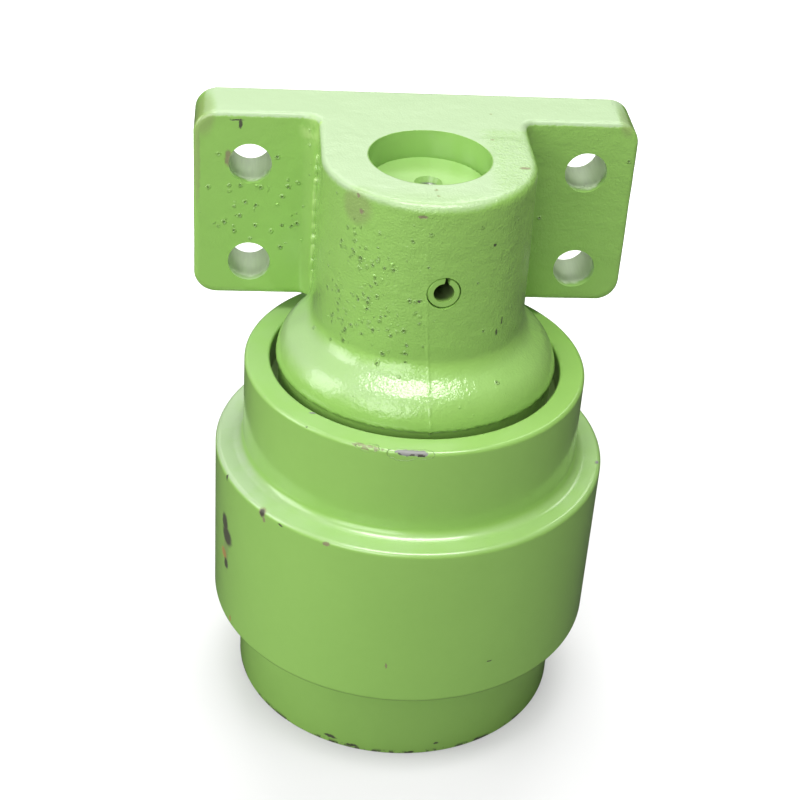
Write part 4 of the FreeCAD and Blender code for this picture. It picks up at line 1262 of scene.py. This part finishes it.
def drilled_wall(sheet, finish, place):
    """Where the drilled walls of the bolt holes are bare, and their steel, made paler as painted
    light.
    """
    x, y, z = sheet.split(place)
    from_hole = sheet.across(abs(x) - BOLT_HALF_X, abs(z - BOLT_MIDDLE[2]) - BOLT_HALF_Z)
    inside = sheet.fade(from_hole, BOLT_RADIUS + 0.35 * MM, BOLT_RADIUS + 0.15 * MM)
    depth = y - (BRACKET_HIGH.y - 30 * MM)
    ragged_depth = sheet.times_plus(sheet.noise(place, 5 * MM, 3.0), 9 * MM, depth)
    steel = sheet.group("steel_grain",
                        streak_position=sheet.vector("MULTIPLY", place, (900.0, 60.0, 900.0)),
                        bright=colour(finish.drilled_steel_and_painted_light),
                        dull=colour([value * 0.93 for value in finish.drilled_steel_and_painted_light]),
                        roughness=0.45, depth=0.004 * MM)
    return inside * sheet.fade(ragged_depth, 5.5 * MM, 10 * MM), steel


def cast_paint(finish):
    """Paint on the rough casting, worn marks, pores with painted shade in them, pale dust with
    painted sheen, and bare drilled holes whose steel carries painted light.
    """
    sheet, shader, place = new_material("cast_paint")
    masks = laid_marks(sheet, place, BRACKET_MARKS)[0]
    tint, rough, film = painted(sheet, finish, place, masks)
    x, y, z = sheet.split(place)
    outside = sheet.fade(sheet.across(x, y), BORE_RADIUS + 0.2 * MM, BORE_RADIUS + 0.6 * MM)
    chalk_and_sheen, bell_dust_and_sheen = casting_dust_and_sheen(sheet, place, facing_up(sheet))
    chalk_and_sheen = chalk_and_sheen * sheet.times_plus(masks["film"], -0.6, 1.0) * outside
    # The bore wall gets some pale dust colour too: a painted sheen.
    dust_and_sheen = sheet.larger(sheet.larger(chalk_and_sheen, bell_dust_and_sheen), sheet.between(outside, 0.12, 0.0))
    tint = dusted_with_sheen(sheet, finish, tint, dust_and_sheen * film)
    tint = sheet.blend(bead_paint_and_highlight(sheet, place), tint, colour(finish.thick_paint_and_highlight))

    boss, plate, bell = [
        sheet.group("worn_spot", position=place, middle=middle, reach=reach)["Mask"]
        for middle, reach in PORE_PATCHES]
    before_plate = sheet.fade(y, 30 * MM, 20 * MM)
    spread = sheet.fade(sheet.noise(place, 14 * MM, 1.0), 0.36, 0.56)
    share = sheet.larger(boss, plate * 0.4) * sheet.fade(z, 218 * MM, 228 * MM, 0.1, 1.0)
    share = sheet.times_plus(share * spread, 0.6, 0.012) * (1.0 - chalk_and_sheen) * outside
    torn = sheet.group("ragged_position", position=place, size=1.1 * MM,
                       amount=1.5 * MM)["Position"]
    pores = sheet.group("cast_pores", position=torn, spacing=2.7 * MM, width=1.0 * MM,
                        share=share, depth=0.9 * MM)
    # Painted shade: the pores' hollows are darkened with the dark colour.
    tint = sheet.blend(pores["Mask"] * 0.4, tint, colour(finish.dark_scale_and_shade))

    drilled, steel = drilled_wall(sheet, finish, place)
    glossy = film * sheet.between(chalk_and_sheen, finish.gloss, 0.15 * finish.gloss)
    sheet.fill(shader, {
        "Base Color": sheet.blend(drilled, tint, steel["Color"]),
        "Roughness": sheet.between(drilled, rough, steel["Roughness"]),
        "Coat Weight": glossy * (1.0 - drilled),
        "Coat Roughness": 0.12,
        "Coat IOR": COAT_IOR})

    coarse = sheet.larger(boss * 1.2, bell * 1.5)
    coarse = sheet.larger(coarse, sheet.fade(x, 22 * MM, 40 * MM, 1.0, 1.8) * before_plate)
    calm = sheet.larger(sheet.fade(x, -20 * MM, -62 * MM, 0.85, 0.4), coarse)
    calm = calm * sheet.fade(z, 222 * MM, 236 * MM, 0.35, 1.0) * sheet.between(chalk_and_sheen, 1.0, 0.5)
    peel = peeled(sheet, place, 1.2, 0.34, 6, 0.4) * (calm * outside)
    ripple = sheet.larger(bell * (0.38 * MM), sheet.fade(x, 20 * MM, 40 * MM) * (0.15 * MM))
    ripple = ripple * outside * before_plate
    height = sheet.times_plus(sheet.noise(place, 2.2 * MM), ripple, peel + pores["Height"])
    height = sheet.times_plus(film, 0.12 * MM, height)
    height = sheet.times_plus(seam_ridge(sheet, place), 0.22 * MM, height)
    relief(sheet, sheet.between(drilled, height, steel["Height"]), shader)


def shell_painted_shade(sheet, place):
    """Painted shade in the guard bore and under the tread."""
    x, y, z = sheet.split(place)
    sizes = bpy.context.scene.roller_shell
    bore = sizes.guard_bore / 2
    tread = sizes.tread_foot
    inside = (sheet.fade(sheet.across(x, y), bore + 2.5 * MM, bore + 0.5 * MM)
              * sheet.fade(z, SHELL_HIGH.z - 1.5 * MM, SHELL_HIGH.z - 5 * MM))
    under = (sheet.fade(z, tread - 6 * MM, tread - 1 * MM)
             * sheet.fade(z, tread + 2 * MM, tread + 0.5 * MM))
    return sheet.larger(inside * 0.55, under * 0.6)


def shell_paint(finish):
    """Smooth paint on the turned shell with chips along its edges, pale dust with painted sheen,
    and painted shade in the guard bore, under the tread and along flaked patches.
    """
    sheet, shader, place = new_material("shell_paint")
    masks, ragged = laid_marks(sheet, place, SHELL_MARKS)
    x, y, z = sheet.split(place)
    pale, bare = rim_strip(sheet, ragged)
    worn_line = sheet.fade(sheet.noise(place, 3 * MM), 0.42, 0.5)
    masks["stain"] = sheet.larger(masks["stain"], pale * 0.8 * worn_line)
    masks["steel"] = sheet.larger(masks["steel"], bare)
    low_edge = sheet.fade(z, 3.2 * MM, 0.8 * MM)
    worn = sheet.fade(sheet.noise(place, 9 * MM, 3.0, 0.7), 0.5, 0.56)
    masks["dark"] = sheet.larger(masks["dark"], low_edge * worn)
    flecks = sheet.fade(z, SHELL_HIGH.z - 0.7 * MM, SHELL_HIGH.z - 1.2 * MM)
    flecks = flecks * sheet.fade(sheet.noise(place, 2 * MM), 0.44, 0.5) * bare
    masks["dark"] = sheet.larger(masks["dark"], flecks)
    tint, rough, film = painted(sheet, finish, place, masks)
    dust_and_sheen = shell_dust_and_sheen(sheet, place, facing_up(sheet))
    tint = dusted_with_sheen(sheet, finish, tint, dust_and_sheen * film)
    flaked = masks["flaked"]
    # Painted shadow: a dark line along the edge of each flaked patch.
    outline = sheet.fade(flaked, 0.3, 0.42) * sheet.fade(flaked, 0.6, 0.45)
    painted_shade = sheet.larger(shell_painted_shade(sheet, place), outline * 0.35)
    sheet.fill(shader, {
        "Base Color": sheet.blend(painted_shade, tint, colour(finish.dark_scale_and_shade)),
        "Roughness": rough,
        "Metallic": masks["steel"] * 0.35,
        "Coat Weight": film * finish.gloss,
        "Coat Roughness": 0.16,
        "Coat IOR": COAT_IOR})
    height = sheet.times_plus(film, 0.15 * MM, peeled(sheet, place, 1.6, 0.045, 15, 0.12))
    height = sheet.times_plus(sheet.fade(flaked, 0.4, 0.55), -0.3 * MM, height)
    relief(sheet, height, shader)


def plain_paint(name, finish):
    """Paint on a small part, with painted shade inside the cross pin's bore."""
    sheet, shader, place = new_material(name)
    tint = painted(sheet, finish, place, {})[0]
    x, y, z = sheet.split(place)
    aside = sheet.times_plus(y, math.tan(PIN_LEAN), x)
    from_axis = sheet.across(aside, z - PIN_LEVEL)
    painted_bore_shade = sheet.fade(from_axis, 5.6 * MM, 5.1 * MM, 0.0, 0.75)
    painted_bore_shade = painted_bore_shade * sheet.fade(y, PIN_LOW.y + 0.5 * MM, PIN_LOW.y + 6 * MM)
    sheet.fill(shader, {
        "Base Color": sheet.blend(painted_bore_shade, tint, colour(finish.dark_scale_and_shade)),
        "Roughness": finish.paint_roughness,
        "Coat Weight": finish.gloss,
        "Coat Roughness": 0.2})
    relief(sheet, peeled(sheet, place, 1.6, 0.03, 9, 0.1), shader)


def shaft_finish(finish):
    """Ground steel, painted on the end face that shows in the bracket's bore."""
    sheet, shader, place = new_material("shaft_finish")
    x, y, z = sheet.split(place)
    on_end = sheet.fade(z, SHAFT_HIGH.z - 4 * MM, SHAFT_HIGH.z - 3 * MM)
    in_hole = sheet.fade(sheet.across(x, y), 5.6 * MM, 5.0 * MM)
    on_end = on_end * (1.0 - in_hole)
    tint, rough = painted(sheet, finish, place, {})[:2]
    # Pale dust colour on the painted end: a painted sheen.
    tint = dusted_with_sheen(sheet, finish, tint, 0.2)
    rings = sheet.vector("MULTIPLY", place, (60.0, 60.0, 2500.0))
    steel = sheet.group("steel_grain", streak_position=rings, bright=(0.62, 0.62, 0.6, 1.0),
                        dull=(0.42, 0.42, 0.41, 1.0), roughness=0.3, depth=0.004 * MM)
    sheet.fill(shader, {
        "Base Color": sheet.blend(on_end, steel["Color"], tint),
        "Roughness": sheet.between(on_end, steel["Roughness"], rough),
        "Metallic": 1.0 - on_end,
        "Coat Weight": on_end * finish.gloss,
        "Coat Roughness": 0.2})
    peel = peeled(sheet, place, 1.8, 0.03, 9, 0.15)
    relief(sheet, sheet.between(on_end, steel["Height"], peel), shader)


MetalLook = namedtuple("MetalLook", "bright dull roughness streaks depth")
METALS = {
    "plug_steel": MetalLook((0.58, 0.56, 0.48), (0.44, 0.43, 0.38), 0.38, (300, 300, 900), 0.01),
    "clip_steel": MetalLook((0.06, 0.06, 0.065), (0.03, 0.03, 0.033), 0.35, (500, 500, 500), 0.01),
    "soft_washer": MetalLook((0.70, 0.36, 0.22), (0.52, 0.25, 0.15), 0.35, (700, 700, 200), 0.01),
    "nut_steel": MetalLook((0.12, 0.12, 0.125), (0.07, 0.07, 0.073), 0.5, (400, 400, 900), 0.02),
    "washer_steel": MetalLook((0.55, 0.55, 0.56), (0.4, 0.4, 0.41), 0.32, (300, 300, 300), 0.01),
    "seal_iron": MetalLook((0.42, 0.41, 0.40), (0.24, 0.235, 0.23), 0.4, (120, 120, 1500), 0.01),
    "bearing_steel": MetalLook((0.66, 0.66, 0.67), (0.5, 0.5, 0.51), 0.2, (60, 60, 2200), 0.003),
    "cage_steel": MetalLook((0.48, 0.47, 0.45), (0.33, 0.32, 0.31), 0.42, (250, 250, 250), 0.01),
}


def metal(name, look):
    """Metal with machining or rolling marks."""
    sheet, shader, place = new_material(name)
    streaks = sheet.vector("MULTIPLY", place, look.streaks)
    steel = sheet.group("steel_grain", streak_position=streaks, bright=colour(look.bright),
                        dull=colour(look.dull), roughness=look.roughness, depth=look.depth * MM)
    sheet.fill(shader, {
        "Metallic": 1.0, "Base Color": steel["Color"], "Roughness": steel["Roughness"]})
    relief(sheet, steel["Height"], shader)


def rubber():
    """Black rubber with a faint bloom."""
    sheet, shader, place = new_material("black_rubber")
    bloom = sheet.group("paint_tone", position=place, size=10 * MM, contrast=2.0)["Factor"]
    sheet.fill(shader, {
        "Base Color": sheet.blend(bloom, (0.012, 0.012, 0.013, 1.0), (0.035, 0.035, 0.036, 1.0)),
        "Roughness": sheet.between(bloom, 0.45, 0.65)})
    relief(sheet, peeled(sheet, place, 0.5, 0.01, 6, 0.02), shader)


# Steps that the panel lists

class ROLLER_OT_finishes(bpy.types.Operator):
    """Makes the shader groups and every material"""

    bl_idname = "roller.finishes"
    bl_label = "Make finishes"

    def execute(self, context):
        finish = context.scene.roller_finish
        make_shader_groups()
        cast_paint(finish)
        shell_paint(finish)
        plain_paint("pin_paint", finish)
        plain_paint("cover_paint", finish)
        shaft_finish(finish)
        for name, look in METALS.items():
            metal(name, look)
        rubber()
        return {"FINISHED"}


class ROLLER_OT_bracket(bpy.types.Operator):
    """Makes the cast bracket with its rough skin and drilled holes"""

    bl_idname = "roller.bracket"
    bl_label = "Make cast bracket"

    def execute(self, context):
        sizes = context.scene.roller_casting
        step = sizes.mesh_step
        margin = 2.5 * step
        low = np.array(BRACKET_LOW) - margin
        high = np.array(BRACKET_HIGH) + margin
        lines = [np.arange(low[axis], high[axis], step) for axis in range(3)]
        x, y, z = np.meshgrid(*lines, indexing="ij", sparse=True)
        field = casting_distance(x, y, z, sizes)
        points, faces = level_surface(field, low, step)
        points = drawn_to_surface(points, sizes)
        mesh = mesh_from("bracket_casting", points.tolist(), faces.tolist())
        piece = new_piece("bracket_casting", mesh)
        paint = finish_named("cast_paint")
        add_tree(piece, skin_tree(), {
            "Swell Height": sizes.swell_height, "Swell Size": sizes.swell_size,
            "Grain Height": sizes.grain_height, "Grain Size": sizes.grain_size,
            "Machined Face": BRACKET_HIGH.y, "Material": paint})
        plain_mesh(piece)
        self.drill(piece, sizes)
        smooth_shaded(piece, math.radians(50))
        add_tree(piece, lumps_tree(), {
            "Cluster Middle": PORE_MIDDLE, "Cluster Reach": 52 * MM,
            "Cluster Density": 26000.0, "Even Density": 500.0,
            "Lump Size": sizes.lump_size,
            "Bead Start": BEAD_HEAD, "Bead End": BEAD_FOOT, "Bead Count": 12,
            "Bead Size": 1.9 * MM,
            "Clear Foot": SHELL_HIGH.z + 4 * MM,
            "Clear Front": BRACKET_HIGH.y - sizes.plate_thickness + 1 * MM,
            "Clear Radius": 31 * MM, "Clear Top": BRACKET_HIGH.z - 3 * MM,
            "Box Low": tuple(BRACKET_LOW), "Box High": tuple(BRACKET_HIGH),
            "Seed": sizes.seed, "Material": paint})
        plain_mesh(piece)
        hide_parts("bracket")
        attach(piece, "bracket")
        return {"FINISHED"}

    def drill(self, piece, sizes):
        """Shaft bore with its seal pocket, bolt holes and pin hole."""
        beyond = 5 * MM
        axis = 0.01 * MM
        clearance = 0.8 * MM
        pocket = TORIC_HIGH.x + clearance
        above = BRACKET_HIGH.z + beyond
        below = BRACKET_LOW.z - beyond
        cut_from(piece, turned_mesh("bore_drill", [
            (axis, below), (pocket, below), (pocket, SHELL_HIGH.z),
            (BORE_RADIUS, SHELL_HIGH.z), (BORE_RADIUS, above), (axis, above)], 192))
        places = [(side * BOLT_HALF_X, 0, BOLT_MIDDLE[2] + rise * BOLT_HALF_Z)
                  for side in (-1, 1) for rise in (-1, 1)]
        front = BRACKET_HIGH.y - sizes.plate_thickness
        cut_from(piece, drill_mesh("bolt_drill", places, BOLT_RADIUS,
                                   (0, front - beyond, 0), (0, BRACKET_HIGH.y + beyond, 0)))
        right_through = 120 * MM
        reach = Vector((-math.sin(PIN_LEAN), math.cos(PIN_LEAN), 0)) * right_through
        cut_from(piece, drill_mesh("pin_drill", [(0, 0, PIN_LEVEL)], PIN_HOLE_RADIUS,
                                   -reach, reach))


class ROLLER_OT_shell(bpy.types.Operator):
    """Makes the turned roller shell from its section"""

    bl_idname = "roller.shell"
    bl_label = "Make roller shell"

    def execute(self, context):
        sizes = context.scene.roller_shell
        corners = steadied(shell_outline(sizes), 0.8 * MM)
        piece = new_piece("shell_body", outline_mesh("shell_body", corners))
        add_tree(piece, turning_tree(), {
            "Arc Points": 8, "Steps": sizes.steps,
            "Material": finish_named("shell_paint")})
        plain_mesh(piece)
        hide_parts("roller_shell")
        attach(piece, "roller")
        return {"FINISHED"}


# Nodes that keep their construction mesh, by the material that they get
NODE_FINISHES = {
    "pin_paint": ("spring_pin",),
    "cover_paint": ("end_cover",),
    "shaft_finish": ("shaft",),
    "black_rubber": ("shaft_o_ring", "cover_o_ring", "seal_toric_fixed", "seal_toric_turning"),
    "seal_iron": ("seal_ring_fixed", "seal_ring_turning"),
    "bearing_steel": ("inner_bearing_cone", "inner_bearing_cup", "inner_bearing_rollers",
                      "outer_bearing_cone", "outer_bearing_cup", "outer_bearing_rollers"),
    "cage_steel": ("inner_bearing_cage", "outer_bearing_cage"),
    "washer_steel": ("tab_washer",),
    "nut_steel": ("lock_nut",),
    "clip_steel": ("circlip",),
    "plug_steel": ("oil_plug",),
    "soft_washer": ("plug_washer",),
}


class ROLLER_OT_inner_parts(bpy.types.Operator):
    """Gives every part that keeps its construction mesh its finish"""

    bl_idname = "roller.inner_parts"
    bl_label = "Finish inner parts"

    def execute(self, context):
        for name, nodes in NODE_FINISHES.items():
            for node in nodes:
                for slot in NODES[node].material_slots:
                    slot.material = finish_named(name)
        return {"FINISHED"}


# Each lamp's place, target, width and height in metres, and the setting with its power
Lamp = namedtuple("Lamp", "place target width height power")
LAMPS = {
    "key_lamp": Lamp((-0.94, -1.77, 1.1), (0, 0, 0.17), 1.5, 1.3, "key_power"),
    "side_lamp": Lamp((-1.63, -0.14, 0.93), (0, 0, 0.17), 0.8, 1.2, "side_power"),
    "top_lamp": Lamp((0.03, -0.35, 2.0), (0, 0, 0.17), 1.3, 0.6, "top_power"),
    "back_panel": Lamp((0.1, 1.15, 1.35), (0, 0, 0.25), 1.4, 0.5, "back_power"),
    "floor_lamp": Lamp((0.05, 1.0, 1.3), (0, 0, 0), 1.2, 1.2, "floor_power"),
}
FLOOR_HALF = 4.0
# Grey of the floor as light finds it, and as the glossy paint mirrors it
FLOOR_SHADE = 0.42
FLOOR_MIRRORED = 0.03


def area_lamp(name, look, power):
    """A soft box at its place, turned to its target."""
    data = bpy.data.lights.new(name, "AREA")
    data.shape = "RECTANGLE"
    data.size = look.width
    data.size_y = look.height
    data.energy = power
    lamp = new_piece(name, data)
    lamp.location = look.place
    towards = Vector(look.target) - Vector(look.place)
    lamp.rotation_euler = towards.to_track_quat("-Z", "Y").to_euler()
    return lamp


class ROLLER_OT_studio(bpy.types.Operator):
    """Makes the floor, the light and the camera"""

    bl_idname = "roller.studio"
    bl_label = "Make studio"

    def execute(self, context):
        studio = context.scene.roller_studio
        self.camera(context, studio)
        floor = self.floor(studio)
        self.world(context, studio)
        lamps = {name: area_lamp(name, look, getattr(studio, look.power))
                 for name, look in LAMPS.items()}
        lit = bpy.data.collections.new("lit_by_floor_lamp")
        lit.objects.link(floor)
        lamps["floor_lamp"].light_linking.receiver_collection = lit
        context.scene.view_settings.view_transform = "Standard"
        return {"FINISHED"}

    def camera(self, context, studio):
        """The photograph's own view."""
        right, up, back = camera_axes(studio)
        data = bpy.data.cameras.new("camera")
        data.sensor_width = 36
        data.lens = studio.focal_pixels / PHOTO_SIZE * data.sensor_width
        data.clip_start = 0.02
        camera = new_piece("camera", data)
        turn = Matrix((right, up, back)).transposed().to_4x4()
        camera.matrix_world = Matrix.Translation(studio.camera_place) @ turn
        context.scene.camera = camera

    def floor(self, studio):
        """A white floor that glows a little for the camera alone, less near the object as painted
        shade.
        """
        half = FLOOR_HALF
        level = SHELL_LOW.z - 0.2 * MM
        corners = [(-half, -half, level), (half, -half, level), (half, half, level),
                   (-half, half, level)]
        piece = new_piece("floor", mesh_from("floor", corners, [(0, 1, 2, 3)]))
        material = bpy.data.materials.new("floor_white")
        material.use_nodes = True
        material.node_tree.nodes.clear()
        sheet = Sheet(material.node_tree)
        path = sheet.wires(sheet.add("ShaderNodeLightPath"))
        shade = sheet.between(path["Is Glossy Ray"], FLOOR_SHADE, FLOOR_MIRRORED)
        matt = sheet.get("ShaderNodeBsdfDiffuse", {"Color": sheet.joined(shade, shade, shade)})
        away = sheet.length(sheet.get("ShaderNodeTexCoord", output="Object"))
        # Painted shade: the glow is weaker near the object, so the floor there is darker.
        strength = sheet.fade(away, 0.2, 0.6, studio.floor_glow, studio.floor_glow + 0.4)
        glow = sheet.get("ShaderNodeEmission", {
            "Color": WHITE, "Strength": path["Is Camera Ray"] * strength})
        both = sheet.get("ShaderNodeAddShader", {0: matt, 1: glow})
        sheet.add("ShaderNodeOutputMaterial", {"Surface": both})
        piece.data.materials.append(material)
        return piece

    def world(self, context, studio):
        """Plain light from all round: white to the camera, dim in reflections."""
        world = bpy.data.worlds.new("plain_sky")
        world.use_nodes = True
        world.node_tree.nodes.clear()
        sheet = Sheet(world.node_tree)
        path = sheet.wires(sheet.add("ShaderNodeLightPath"))
        level = sheet.between(path["Is Glossy Ray"], studio.world_level, studio.mirror_level)
        level = sheet.between(path["Is Camera Ray"], level, 1.0)
        sky = sheet.get("ShaderNodeBackground", {"Color": WHITE, "Strength": level})
        sheet.add("ShaderNodeOutputWorld", {"Surface": sky})
        context.scene.world = world


class ROLLER_PT_panel(bpy.types.Panel):
    """Lists the steps and the settings of the carrier roller"""

    bl_label = "Carrier roller"
    bl_idname = "ROLLER_PT_panel"
    bl_space_type = "VIEW_3D"
    bl_region_type = "UI"
    bl_category = "Roller"

    def draw(self, context):
        for operator in OPERATORS:
            self.layout.operator(operator.bl_idname)
        for key in SETTINGS:
            settings = getattr(context.scene, key)
            box = self.layout.box()
            for name in settings.__annotations__:
                box.prop(settings, name)


OPERATORS = (
    ROLLER_OT_finishes,
    ROLLER_OT_bracket,
    ROLLER_OT_shell,
    ROLLER_OT_inner_parts,
    ROLLER_OT_studio,
)
SETTINGS = {
    "roller_casting": CastingSettings,
    "roller_shell": ShellSettings,
    "roller_finish": FinishSettings,
    "roller_studio": StudioSettings,
}


def register():
    for item in (*SETTINGS.values(), *OPERATORS, ROLLER_PT_panel):
        bpy.utils.register_class(item)
    for key, group in SETTINGS.items():
        setattr(bpy.types.Scene, key, PointerProperty(type=group))


def unregister():
    for key in SETTINGS:
        delattr(bpy.types.Scene, key)
    for item in reversed((*SETTINGS.values(), *OPERATORS, ROLLER_PT_panel)):
        bpy.utils.unregister_class(item)


def main():
    register()
    bpy.ops.roller.finishes()
    bpy.ops.roller.bracket()
    bpy.ops.roller.shell()
    bpy.ops.roller.inner_parts()
    bpy.ops.roller.studio()


if __name__ == "__main__":
    main()
